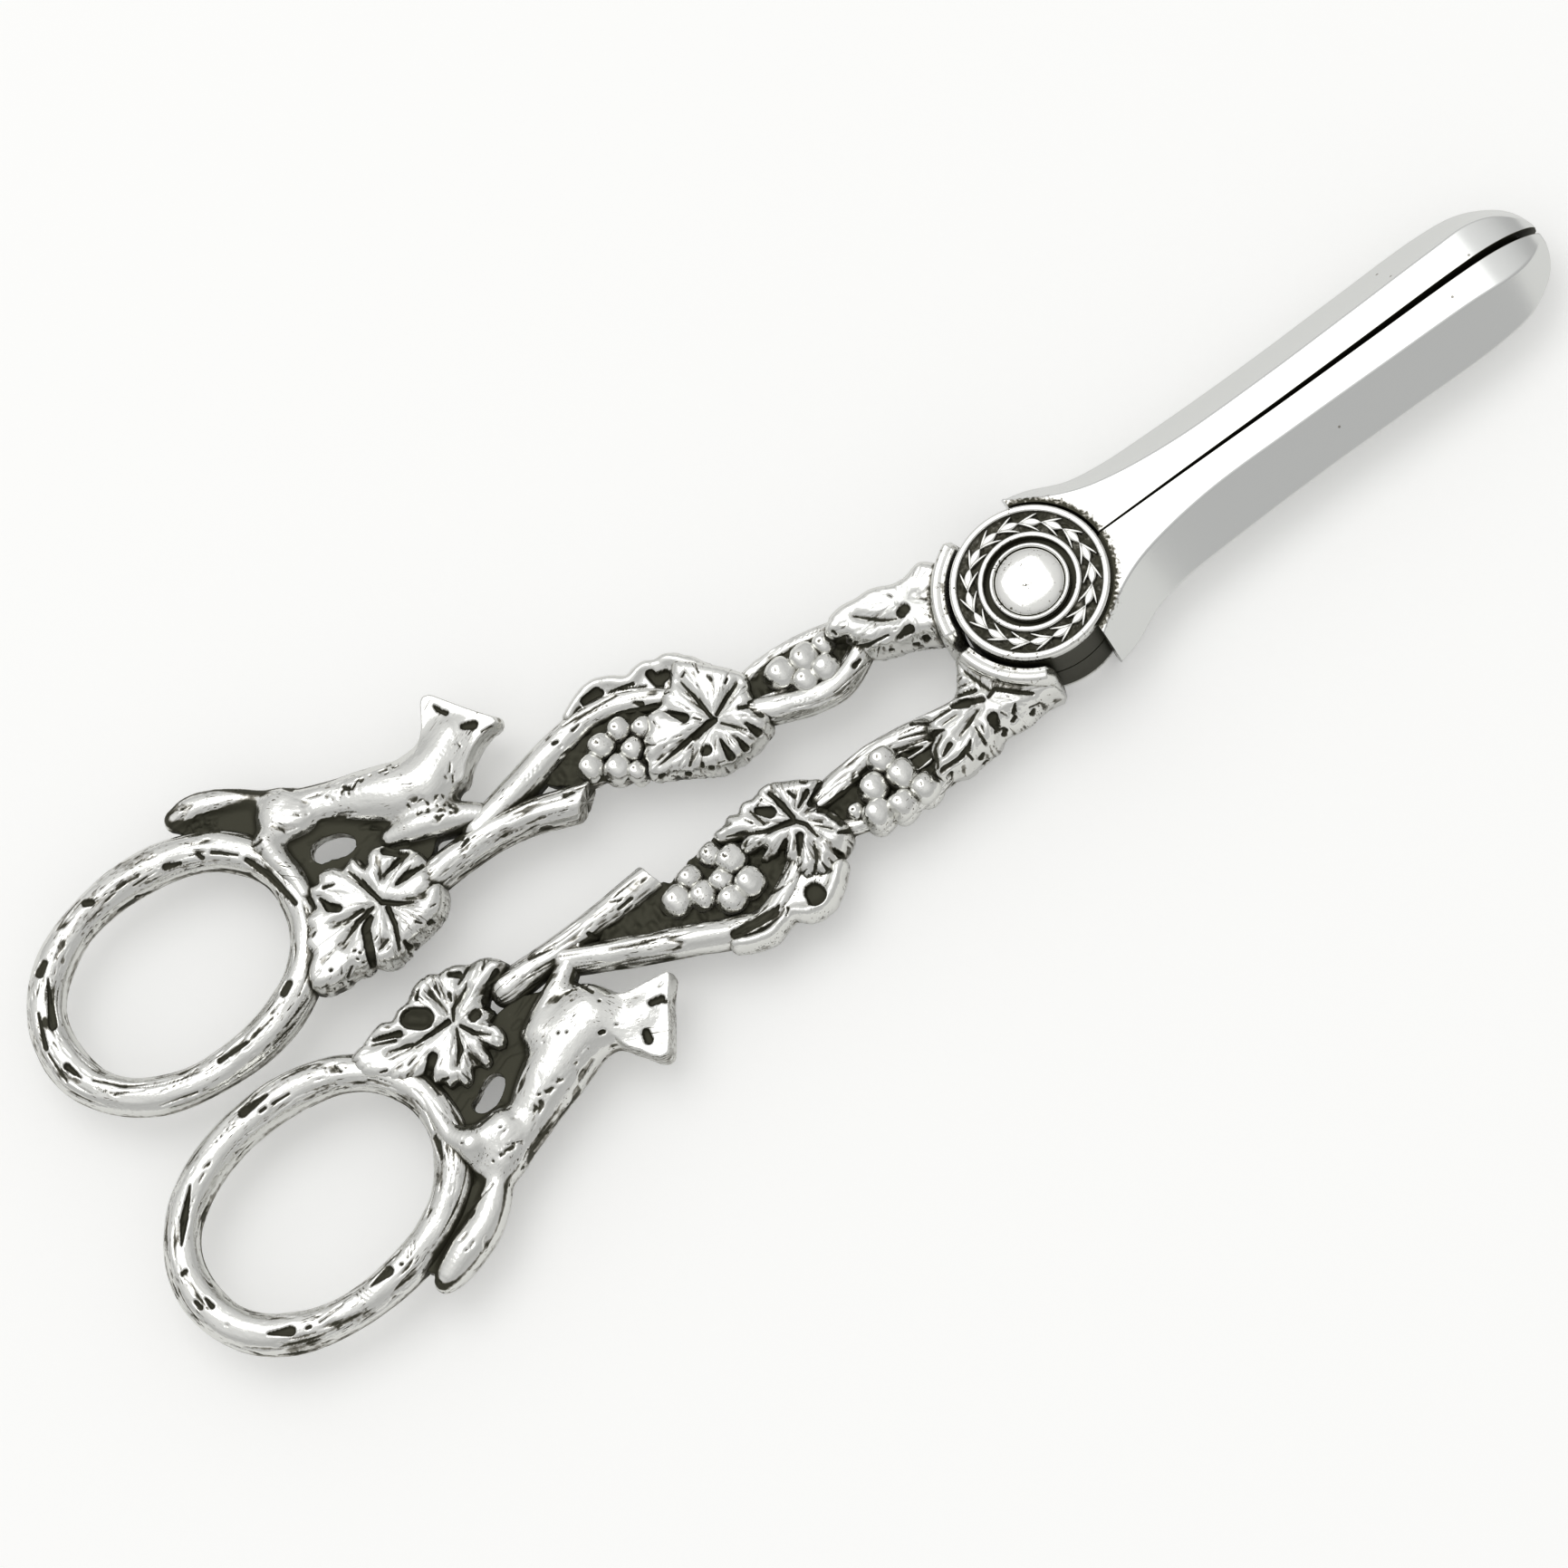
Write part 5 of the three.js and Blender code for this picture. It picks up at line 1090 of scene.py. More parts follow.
def stem_chase(rows, marks, seed, loop=False):
    """Bark along a stem, and the tool's cuts."""
    dense = eased(rows, loop=loop)

    def chase(points, normals):
        run, across, up = along_path(points, dense)
        turn = np.arctan2(up, across)
        ring = np.stack([np.cos(turn), np.sin(turn)], 1)
        cut = bark(run, ring, seed) * sizes().bark_depth
        deep = sizes().gouge_depth / MM
        cut = np.maximum(cut, 0) + gouged(points, normals, marks, deep) + np.minimum(cut, 0)
        return cut, np.column_stack([run * 0.18, ring[:, 0] * 2.2 + 9, ring[:, 1] * 2.2])

    return chase


def leaf_chase(leaf, seed):
    """Pits between the lobes, and fine strokes that run out from the hub."""

    def chase(points, normals):
        dx, dy = points[:, 0] - leaf["hub"][0], points[:, 1] - leaf["hub"][1]
        bearing, radius = np.arctan2(dy, dx), np.hypot(dx, dy)
        grain = np.column_stack([bearing * 6 + 40, radius * 0.2, points[:, 2] * 0.3])
        strokes = clouds(np.column_stack([bearing * 20 + 90, radius * 0.7, points[:, 2] * 0.5]), seed)
        cut = 0.1 * soft_step(0.6, 0.8, strokes) * soft_step(0.5, 1.5, radius)
        return cut + gouged(points, normals, leaf["marks"], 1.3 * sizes().gouge_depth / MM), grain

    return chase


def fox_chase(fox, seed):
    """Tufts of fur along the back, chest and tail, the eye, the ear and the mouth."""
    rows = eased(fox["tail"][::-1] + fox["body"][1:] + fox["neck"][1:])
    nose = fox["snout"][-1]

    def chase(points, normals):
        run, across, up = along_path(points, rows)
        lean = np.abs(across) * 0.8
        fur = clouds(np.column_stack([(run + lean) / 1.7, across * 1.5 + 40, up * 1.3 + 20]), seed)
        patch = clouds(points / 4.5 + 30, seed + 1)
        tuft = soft_step(0.64, 0.78, fur) * soft_step(0.42, 0.6, patch)
        bare = soft_step(6.5, 9.5, np.hypot(points[:, 0] - nose[0], points[:, 1] - nose[1]))
        dents = clouds(points / 2.1 + 60, seed + 2) - 0.5
        cut = 0.12 * tuft * bare + 0.12 * dents + pocked(points, fox["specks"], seed + 3)
        grain = np.column_stack([(run + lean) * 0.22, across * 0.9 + 40, up * 0.9])
        return cut + gouged(points, normals, fox["marks"], 1.2 * sizes().gouge_depth / MM), grain

    return chase


def rough_chase(seed, marks=()):
    """The uneven floor under grapes, and the curls with their pits."""

    def chase(points, normals):
        lumps = clouds(points / 0.9 + 20, seed)
        return 0.12 * (lumps - 0.5) + gouged(points, normals, marks, 0.7), points * 0.8

    return chase


# Turned and bent pieces of the joint


def corner_rows(mesh, field):
    """What a mesh says of each of its corners, such as its place or its normal."""
    flat = np.empty(len(mesh.vertices) * 3)
    mesh.vertices.foreach_get(field, flat)
    return flat.reshape(-1, 3)


def corners_of(mesh):
    """A mesh's corners in millimetres off the mid-plane."""
    return corner_rows(mesh, "co") / MM - (0, 0, MID_HEIGHT)


def move_corners(mesh, points):
    """Moves a mesh's corners to places in millimetres off the mid-plane."""
    mesh.vertices.foreach_set("co", ((points + (0, 0, MID_HEIGHT)) * MM).ravel())


def off_axis(points):
    """Each corner's distance from the pivot's axis."""
    return np.hypot(points[:, 0], points[:, 1])


def meshed(name, points, faces):
    """A welded mesh with its faces outwards, from corners in millimetres off the mid-plane."""
    mesh = bpy.data.meshes.new(name)
    mesh.from_pydata([(x * MM, y * MM, (z + MID_HEIGHT) * MM) for x, y, z in points], [], faces)
    form = bmesh.new()
    form.from_mesh(mesh)
    bmesh.ops.remove_doubles(form, verts=form.verts, dist=0.002 * MM)
    bmesh.ops.recalc_face_normals(form, faces=form.faces)
    form.to_mesh(mesh)
    form.free()
    return mesh


def softened(corners, radii, steps=5):
    """An outline with its corners rounded off, each by its own radius."""
    outline = []
    for n, (corner, radius) in enumerate(zip(corners, radii)):
        corner = Vector(corner)
        if not radius:
            outline.append(tuple(corner))
            continue
        ends = []
        for other in (corners[n - 1], corners[(n + 1) % len(corners)]):
            way = Vector(other) - corner
            ends.append(corner + way.normalized() * min(radius, way.length * 0.45))
        for t in (step / (steps - 1) for step in range(steps)):
            outline.append(tuple((1 - t) ** 2 * ends[0] + 2 * t * (1 - t) * corner + t * t * ends[1]))
    return outline


def turned(name, profile, steps=128):
    """A solid of revolution about the pivot, from radii and heights."""
    points, faces = [], []
    count = len(profile)
    for step in range(steps):
        angle = step / steps * 2 * math.pi
        points += [(r * math.cos(angle), r * math.sin(angle), z) for r, z in profile]
        here, there = step * count, (step + 1) % steps * count
        for a in range(count):
            b = (a + 1) % count
            if profile[a][0] or profile[b][0]:
                faces.append((here + a, here + b, there + b, there + a))
    return meshed(name, points, faces)


def finely_turned(name, profile):
    """A turned piece whose curves shine evenly and whose edges stay sharp."""
    mesh = turned(name, profile, 256)
    mesh.shade_smooth()
    mesh.set_sharp_from_angle(angle=math.radians(50))
    return mesh


def lofted(name, rings):
    """A solid through a row of rings of corners, with a flat cap at each end."""
    count = len(rings[0])
    faces = [tuple(range(count)), tuple(range((len(rings) - 1) * count, len(rings) * count))]
    for row in range(len(rings) - 1):
        for k in range(count):
            a, b = row * count + k, row * count + (k + 1) % count
            faces.append((a, b, b + count, a + count))
    return meshed(name, [point for ring in rings for point in ring], faces)


def evaluated(thing):
    """The mesh that an object's modifiers make."""
    return bpy.data.meshes.new_from_object(thing.evaluated_get(bpy.context.evaluated_depsgraph_get()))


def shaped(name, mesh, *tools):
    """Adds meshes to a mesh, or cuts them out of it, in turn. Its flats stay flat in the light."""
    thing = shown(name, mesh)
    others = []
    for operation, tool in tools:
        others.append(shown(f"{name}_tool", tool))
        step = thing.modifiers.new(operation.lower(), "BOOLEAN")
        step.operation = operation
        step.solver = "EXACT"
        step.object = others[-1]
    merged = evaluated(thing)
    thing.modifiers.clear()
    thing.data = merged
    merged.shade_smooth()
    merged.set_sharp_from_angle(angle=math.radians(32))
    thing.modifiers.new("flats", "WEIGHTED_NORMAL").keep_sharp = True
    finished = evaluated(thing)
    for extra in [thing, *others]:
        bpy.data.objects.remove(extra)
    finished.name = name
    return finished


# Sections of a blade: distance from the pivot, half width of the top flat, width, half thickness
BLADE_STATIONS = [
    (3.0, 9.3, 11.2, 4.98), (5.6, 7.4, 10.5, 5.0), (9.4, 5.4, 8.7, 4.98), (13.2, 4.3, 7.96, 4.94),
    (20.7, 3.3, 7.55, 4.86), (32, 3.1, 7.3, 4.6), (43, 3.17, 7.35, 4.6), (54, 3.3, 7.3, 4.6),
    (58.3, 3.4, 6.7, 4.2), (61.0, 2.9, 5.4, 3.3), (62.9, 1.9, 3.8, 2.1), (63.8, 1.1, 2.3, 1.2),
    (64.2, 0.5, 1.0, 0.5),
]


def blade_mesh(name, side):
    """A bare half-hexagon blade on one side of the slit."""
    edge = sizes().blade_edge / MM
    cosine, sine = math.cos(side * HALF_SLIT), math.sin(side * HALF_SLIT)
    rings = []
    for x, flat, top, width in eased(BLADE_STATIONS, step=0.8):
        outline = [(0.0, -top), (flat, -top), (width, 0.0), (flat, top), (0.0, top)]
        ease = min(1.0, width / 3)
        radii = [0.3 * edge, edge, edge, edge, 0.3 * edge]
        ring = []
        for y, z in softened(outline, [radius * ease for radius in radii]):
            y *= side
            ring.append((x * cosine - y * sine, x * sine + y * cosine, z))
        rings.append(ring)
    return lofted(name, rings)


def inner_bar(side, grow):
    """The cutting rib of the front blade, or with grow the channel that takes it."""
    half, reach = 0.8 + grow, 1.2 + grow
    corners = [(-reach, -half), (reach, -half), (reach, half), (-reach, half)]
    rings = []
    for x in (12 - grow, 62 + grow):
        rings.append([(x, x * side * HALF_SLIT + y, z) for y, z in corners])
    return lofted("inner_bar", rings)


def block(inner, outer, low, high):
    """A turned ring or disc with square edges."""
    return turned("block", [(inner, low), (outer, low), (outer, high), (inner, high)])


def collar_mesh(name, start, end):
    """A band bent round the socket between two bearings, with a fine groove near its edge."""
    rings = []
    steps, round_steps = 110, 64
    for share in (step / steps for step in range(steps + 1)):
        angle = math.radians(start + (end - start) * share)
        close = min(share, 1 - share) * math.radians(end - start) * 9.8
        shrink = math.sqrt(min(1.0, 0.55 + close / 0.7 * 0.45))
        ring = []
        for turn in ((k + 0.5) / round_steps * 2 * math.pi for k in range(round_steps)):
            out = math.copysign(abs(math.cos(turn)) ** 0.5, math.cos(turn)) * 1.12 * shrink
            up = math.copysign(abs(math.sin(turn)) ** 0.62, math.sin(turn)) * 4.68 * shrink
            groove = 0.3 * math.exp(-(((out + 0.35) / 0.2) ** 2)) * (abs(up) / 4.7) ** 4
            radius = SOCKET + 1.02 + out
            ring.append((radius * math.cos(angle), radius * math.sin(angle), up - math.copysign(groove, up)))
        rings.append(ring)
    mesh = lofted(name, rings)
    mesh.shade_smooth()
    return mesh


def pad_leaf(path, half_widths, height, base, across=9):
    """A domed leaf along a path in the plane, on a flat sole: its corners and faces."""
    points, faces = [], []
    rows = len(path)
    for n, ((x, y), half) in enumerate(zip(path, half_widths)):
        ahead, behind = path[min(n + 1, rows - 1)], path[max(n - 1, 0)]
        way = Vector((ahead[0] - behind[0], ahead[1] - behind[1])).normalized()
        for k in range(across):
            s = k / (across - 1) * 2 - 1
            rise = height * math.sqrt(max(0.0, 1 - s * s)) * min(1.0, 0.4 + half / 0.2)
            rise *= 1 - 0.3 * math.exp(-((s / 0.22) ** 2))
            points.append((x - way.y * half * s, y + way.x * half * s, base + rise))
        points.append((x, y, base - 0.1))
    wide = across + 1
    for n in range(rows - 1):
        for k in range(wide):
            a, b = n * wide + k, n * wide + (k + 1) % wide
            faces.append((a, b, b + wide, a + wide))
    faces.append(tuple(range(wide)))
    faces.append(tuple(range((rows - 1) * wide, rows * wide)))
    return points, faces


def sprig_mesh():
    """One sprig of laurel at the band's middle: a bud on its stalk, and a thin leaf that trails
    to each side of the stalk's foot."""
    length = sizes().sprig_length / MM
    points, faces = [], []
    for side in (0, 1, -1):
        path, widths = [], []
        for t in (step / 16 for step in range(17)):
            if side:
                run = length * (0.1 - 0.84 * t)
                out = side * (0.04 + 0.94 * t**1.25)
                half = 0.06 + 0.1 * math.sin(t * math.pi) ** 0.8
            else:
                run = length * t
                out = 0.0
                half = 0.07
                if 0.14 < t < 0.9:
                    half += 0.46 * math.sin((t - 0.14) / 0.76 * math.pi) ** 0.8
            path.append((out - 0.075 * run * run, run))
            widths.append(half)
        more_points, more_faces = pad_leaf(path, widths, 0.45 if side else 0.5, 4.88)
        faces += [tuple(corner + len(points) for corner in face) for face in more_faces]
        points += more_points
    return meshed("sprig", points, faces)


# Small trees of nodes


def node(tree, kind, inputs=None, **settings):
    """Adds a node to a tree. An input is given as a node, whose first output it takes, as another
    node's output, or as a value."""
    made = tree.nodes.new(kind)
    for name, value in settings.items():
        setattr(made, name, value)
    for name, value in (inputs or {}).items():
        if isinstance(value, bpy.types.Node):
            value = value.outputs[0]
        if isinstance(value, bpy.types.NodeSocket):
            tree.links.new(value, made.inputs[name])
        else:
            made.inputs[name].default_value = value
    return made


def grower_tree(name, sockets):
    """An empty tree for geometry with its named inputs: what adds a node to it, and its inputs."""
    tree = bpy.data.node_groups.new(name, "GeometryNodeTree")
    tree.interface.new_socket("Geometry", in_out="INPUT", socket_type="NodeSocketGeometry")
    for label, kind in sockets.items():
        tree.interface.new_socket(label, in_out="INPUT", socket_type=f"NodeSocket{kind}")
    tree.interface.new_socket("Geometry", in_out="OUTPUT", socket_type="NodeSocketGeometry")
    add = functools.partial(node, tree)
    return tree, add, add("NodeGroupInput").outputs


def spread_out(add, given, links):
    """Puts instances on points, makes them real and smooth, and gives them their material."""
    last = add("GeometryNodeInstanceOnPoints", links)
    last = add("GeometryNodeRealizeInstances", {"Geometry": last})
    last = add("GeometryNodeSetShadeSmooth", {"Geometry": last})
    last = add("GeometryNodeSetMaterial", {"Geometry": last, "Material": given["Material"]})
    add("NodeGroupOutput", {"Geometry": last})


def grape_tree():
    """A round grape on each point, as big as the point's radius, each turned its own way."""
    sockets = {"Detail": "Int", "Swell": "Float", "Material": "Material"}
    tree, add, given = grower_tree("grapes_on_points", sockets)
    grape = add("GeometryNodeMeshIcoSphere", {"Radius": 1.0, "Subdivisions": given["Detail"]})
    radius = add("GeometryNodeInputNamedAttribute", {"Name": "radius"}, data_type="FLOAT")
    size = add("ShaderNodeMath", {0: radius, 1: given["Swell"]}, operation="MULTIPLY")
    limits = {"Min": (0.0, 0.0, 0.0), "Max": (6.28, 6.28, 6.28), "Seed": 4}
    turn = add("FunctionNodeRandomValue", limits, data_type="FLOAT_VECTOR")
    spread_out(add, given, {"Points": given["Geometry"], "Instance": grape, "Rotation": turn, "Scale": size})
    return tree


def wreath_tree():
    """Sprigs end to end round the pivot, each turned to its bearing."""
    sockets = {"Count": "Int", "Radius": "Float", "Material": "Material"}
    tree, add, given = grower_tree("sprigs_round_the_pivot", sockets)
    circle = add("GeometryNodeMeshCircle", {"Vertices": given["Count"], "Radius": given["Radius"]})
    index = add("GeometryNodeInputIndex")
    step = add("ShaderNodeMath", {0: 2 * math.pi, 1: given["Count"]}, operation="DIVIDE")
    angle = add("ShaderNodeMath", {0: index, 1: step}, operation="MULTIPLY")
    turn = add("ShaderNodeCombineXYZ", {"Z": angle})
    spread_out(add, given, {"Points": circle, "Instance": given["Geometry"], "Rotation": turn})
    return tree


def grown(name, mesh, tree, values):
    """Runs a tree of geometry nodes on a mesh, and gives the plain mesh that it makes."""
    thing = shown(name, mesh)
    grower = thing.modifiers.new("grower", "NODES")
    grower.node_group = tree
    for item in tree.interface.items_tree:
        if item.in_out == "INPUT" and item.name in values:
            grower[item.identifier] = values[item.name]
    made = evaluated(thing)
    bpy.data.objects.remove(thing)
    made.name = name
    return made


def build_grapes(arm, name, bed_name):
    """Grapes on their rough bed. Both stand for the same solid."""
    finish = oxidised_silver()
    swell = sizes().grape_swell
    mesh = bpy.data.meshes.new(f"{arm}_{name}_points")
    rows = np.array(berry_rows(ARMS[arm][name]))
    mesh.vertices.add(len(rows))
    move_corners(mesh, rows[:, [0, 1, 3]])
    keep_value(mesh, "radius", rows[:, 2] * MM)
    values = {"Detail": 4, "Swell": swell, "Material": finish}
    grapes = grown(f"{arm}_{name}_round", mesh, grape_tree(), values)
    points = corners_of(grapes)
    normals = corner_rows(grapes, "normal")
    spot_x, spot_y = read_spots(points)
    navel = np.zeros(len(points))
    boxy = points.copy()
    for x, y, r, z in rows:
        # each is squarer than a ball, with a navel a little up and left of its top
        off = (points - (x, y, z)) / r
        away = np.linalg.norm(off, axis=1)
        own = np.abs(away / swell - 1) < 0.01
        square = away / (np.abs(off @ TURN) ** SQUARE).sum(1) ** (1 / SQUARE)
        boxy[own] = ((x, y, z) + off * r * 0.965 * square[:, None])[own]
        seen_x, seen_y = read_spots(np.array([(x - 0.1 * r, y + 0.15 * r, r * 0.9 + abs(z))]))
        away = np.hypot(spot_x - seen_x[0], spot_y - seen_y[0])
        navel = np.maximum(navel, soft_step(0.24, 0.12, away) * (np.sign(points[:, 2]) == np.sign(z)))
    dents = clouds(points / 1.5 + 12, 21) - 0.5
    move_corners(grapes, boxy - normals * (0.22 * dents + 0.12 * navel)[:, None])
    keep_value(grapes, "patina_and_shade", 0.45 * hollows().depth(points, normals) + 0.6 * navel)
    keep_value(grapes, "grain", points * 0.8)
    grapes.update()
    placed(f"{arm}_{name}_round", grapes, arm, finish, f"{arm}_{name}")
    cast_piece(arm, bed_name, rough_chase(31), floor=1.6, stands_for=name)


# Finishes


def hex_colour(code):
    """An sRGB hex colour as linear values."""
    parts = [int(code[n : n + 2], 16) / 255 for n in (0, 2, 4)]
    return [c / 12.92 if c <= 0.04045 else ((c + 0.055) / 1.055) ** 2.4 for c in parts]


def emptied(made):
    """A new material or world with an empty tree, and what adds a node to it."""
    made.use_nodes = True
    made.node_tree.nodes.clear()
    return made, functools.partial(node, made.node_tree)


def silver_surface(add, dark, bright, middle, dull, metal, bump):
    """Silver that turns from bright to patina with the darkness given. dull is its roughness when
    bright and when dark, and metal how metallic it is when dark."""
    ramp = add("ShaderNodeValToRGB", {"Fac": dark})
    ramp.color_ramp.elements[0].color = (*bright, 1)
    ramp.color_ramp.elements[1].color = (*colours().patina, 1)
    ramp.color_ramp.elements.new(middle).color = (*colours().tarnish, 1)
    metallic = add("ShaderNodeMapRange", {"Value": dark, "To Min": 1.0, "To Max": metal})
    roughness = add("ShaderNodeMapRange", {"Value": dark, "To Min": dull[0], "To Max": dull[1]})
    links = {"Base Color": ramp, "Metallic": metallic, "Roughness": roughness, "Normal": bump}
    shader = add("ShaderNodeBsdfPrincipled", links)
    add("ShaderNodeOutputMaterial", {"Surface": shader})


@functools.lru_cache(maxsize=None)
def oxidised_silver(made="cast", relief_height=0.35):
    """Cast silver, oxidised and then rubbed bright: mirror on what stands proud, olive brown and dull where
    the rubbing cloth didn't reach and on the castings' flanks, where it is painted shade, with stains between
    the two along the chasing."""
    finish, add = emptied(bpy.data.materials.new(f"oxidised {made} silver"))
    place = add("ShaderNodeTexCoord").outputs["Object"]
    patina_and_shade = add("ShaderNodeAttribute", attribute_name="patina_and_shade").outputs["Fac"]
    grain = add("ShaderNodeAttribute", attribute_name="grain").outputs["Vector"]
    # casting grit of 0.5 mm, in lumps to a metre
    grit_noise = add("ShaderNodeTexNoise", {"Vector": place, "Scale": 1 / 0.0005, "Detail": 4.0})
    # tarnish in patches of 3 mm
    patch = add("ShaderNodeTexNoise", {"Vector": place, "Scale": 1 / 0.003, "Detail": 2.0})
    streak = add("ShaderNodeTexNoise", {"Vector": grain, "Scale": 2.2, "Detail": 5.0})
    # hair strokes of the graver, 0.15 mm wide and 0.9 mm long, where the patches are dark
    hair = add("ShaderNodeTexNoise", {"Vector": grain, "Scale": 6.0, "Detail": 1.0})
    hair = add("ShaderNodeMapRange", {"Value": hair, "From Min": 0.6, "From Max": 0.67})
    limits = {"Value": patch, "From Min": 0.42, "From Max": 0.62, "To Max": 0.55}
    where = add("ShaderNodeMapRange", limits)
    wear_and_shade = patina_and_shade
    for amount, share in ((grit_noise, 0.5), (patch, 0.35), (streak, 0.7), (hair, where)):
        wear_and_shade = add("ShaderNodeMath", {0: amount, 1: share, 2: wear_and_shade}, operation="MULTIPLY_ADD")
    # the darkness sums patina, stains, wear and the painted shade given to the castings' flanks and to a few
    # marks
    limits = {"Value": wear_and_shade, "From Min": 0.98, "From Max": 1.55}
    patina = add("ShaderNodeMapRange", limits, interpolation_type="SMOOTHSTEP")
    relief = add("ShaderNodeMath", {0: streak, 1: grit_noise}, operation="ADD")
    bump = add("ShaderNodeBump", {"Height": relief, "Strength": relief_height, "Distance": 0.0001})
    silver_surface(add, patina, colours().polished, 0.42, (0.13, 0.55), 0.6, bump)
    return finish


@functools.lru_cache(maxsize=None)
def blade_silver():
    """Forged silver, buffed flat: a mirror with hair scratches along the blade, a few pits, brown tarnish
    where the cloth can't reach round the disc, and painted shade on the faces along the slit."""
    finish, add = emptied(bpy.data.materials.new("buffed blade silver"))
    place = add("ShaderNodeTexCoord").outputs["Object"]
    x, y = add("ShaderNodeSeparateXYZ", {"Vector": place}).outputs[:2]
    flat = add("ShaderNodeCombineXYZ", {"X": x, "Y": y})
    radius = add("ShaderNodeVectorMath", {0: flat}, operation="LENGTH").outputs["Value"]
    # stain from inside the socket's wall, 8.6 mm out, to 9.5 mm, in specks of 0.4 mm
    mottle = add("ShaderNodeTexNoise", {"Vector": place, "Scale": 1 / 0.0004, "Detail": 1.0})
    limits = {"Value": radius, "From Min": 0.0086, "From Max": 0.0095, "To Min": 1.0, "To Max": 0.0}
    reach = add("ShaderNodeMapRange", limits, clamp=False)
    reach = add("ShaderNodeMath", {0: mottle, 1: 1.6, 2: reach}, operation="MULTIPLY_ADD")
    stain = add("ShaderNodeMapRange", {"Value": reach, "From Min": 0.85, "From Max": 1.35})
    # painted shade: the faces along the slit between the blades, 0.36 degrees off the middle, are painted
    # dark
    aside = add("ShaderNodeMath", {0: y}, operation="ABSOLUTE")
    slit = add("ShaderNodeMath", {0: x, 1: -0.0063, 2: aside}, operation="MULTIPLY_ADD")
    limits = {"Value": slit, "From Min": 0.00004, "From Max": 0.00009, "To Min": 1.0, "To Max": 0.0}
    inner = add("ShaderNodeMapRange", limits)
    # hair scratches 0.15 mm apart and 8 mm long
    along = add("ShaderNodeMapping", {"Vector": place, "Scale": (1 / 0.008, 1 / 0.00015, 1 / 0.00015)})
    scratch = add("ShaderNodeTexNoise", {"Vector": along, "Scale": 1.0, "Detail": 2.0})
    # pits of 0.3 mm, a few to a blade
    spots = add("ShaderNodeTexVoronoi", {"Vector": place, "Scale": 1 / 0.006})
    limits = {"Value": spots, "From Min": 0.02, "From Max": 0.035, "To Min": 0.5, "To Max": 0.0}
    pits = add("ShaderNodeMapRange", limits)
    dark = stain
    for other in (inner, pits):
        dark = add("ShaderNodeMath", {0: dark, 1: other}, operation="MAXIMUM")
    bump = add("ShaderNodeBump", {"Height": scratch, "Strength": 0.05, "Distance": 0.00002})
    silver_surface(add, dark, colours().blade, 0.5, (0.2, 0.5), 0.7, bump)
    return finish


def seen_directly(add):
    """1 for rays from the camera and those that a mirror or glass passes on, and the light path."""
    path = add("ShaderNodeLightPath").outputs
    seen = path["Is Camera Ray"]
    for kind in ("Is Glossy Ray", "Is Transmission Ray"):
        seen = add("ShaderNodeMath", {0: seen, 1: path[kind]}, operation="MAXIMUM")
    return seen, path


def matt_floor():
    """Matt white card, seen white by the camera and by metal, with the object's shadow."""
    finish, add = emptied(bpy.data.materials.new("matt white card"))
    seen, path = seen_directly(add)
    card = add("ShaderNodeBsdfDiffuse", {"Color": (*colours().floor, 1)})
    extra = add("ShaderNodeMath", {0: path["Is Camera Ray"], 1: 0.14, 2: 0.06}, operation="MULTIPLY_ADD")
    glow = add("ShaderNodeEmission", {"Color": (1, 1, 1, 1), "Strength": extra})
    lit = add("ShaderNodeAddShader", {0: card, 1: glow})
    mix = add("ShaderNodeMixShader", {"Fac": seen, 1: card, 2: lit})
    add("ShaderNodeOutputMaterial", {"Surface": mix})
    return finish


# Stage


def build_floor():
    half = sizes().floor_size / 2
    corners = [(-half, -half, 0), (half, -half, 0), (half, half, 0), (-half, half, 0)]
    mesh = bpy.data.meshes.new("floor")
    mesh.from_pydata(corners, [], [(0, 1, 2, 3)])
    mesh.materials.append(matt_floor())
    shown("floor", mesh)


def build_world():
    """A white studio round the object, brightest about the softbox, which falls off softly."""
    world, add = emptied(bpy.data.worlds.new("white studio"))
    bpy.context.scene.world = world
    seen, path = seen_directly(add)
    way = add("ShaderNodeTexCoord").outputs["Generated"]
    near = add("ShaderNodeVectorMath", {0: way, 1: (0, 0.358, 0.934)}, operation="DOT_PRODUCT")
    ramp = add("ShaderNodeValToRGB", {"Fac": near.outputs["Value"]})
    elements = ramp.color_ramp.elements
    elements[0].color = (0.57, 0.57, 0.57, 1)
    elements[1].color = (0.95, 0.95, 0.95, 1)
    for position, level in ((0.28, 0.52), (0.5, 0.62), (0.75, 0.8), (0.92, 0.92)):
        elements.new(position).color = (level, level, level, 1)
    seen_sky = add("ShaderNodeBackground", {"Color": ramp, "Strength": 1.0})
    lights = add("ShaderNodeBackground", {"Color": (1, 1, 1, 1), "Strength": 0.72})
    mix = add("ShaderNodeMixShader", {"Fac": seen, 1: lights, 2: seen_sky})
    add("ShaderNodeOutputWorld", {"Surface": mix})


def build_lamp():
    """A square softbox over the blades' side of the shears, turned to their middle."""
    lamp = bpy.data.lights.new("top_softbox", "AREA")
    lamp.shape = "RECTANGLE"
    lamp.size = lamp.size_y = 1.0
    lamp.energy = 3.1
    thing = shown("top_softbox", lamp)
    thing.location = (-0.03, 0.5, 1.3)
    thing.rotation_euler = Vector((0, -0.5, -1.3)).to_track_quat("-Z", "Y").to_euler()


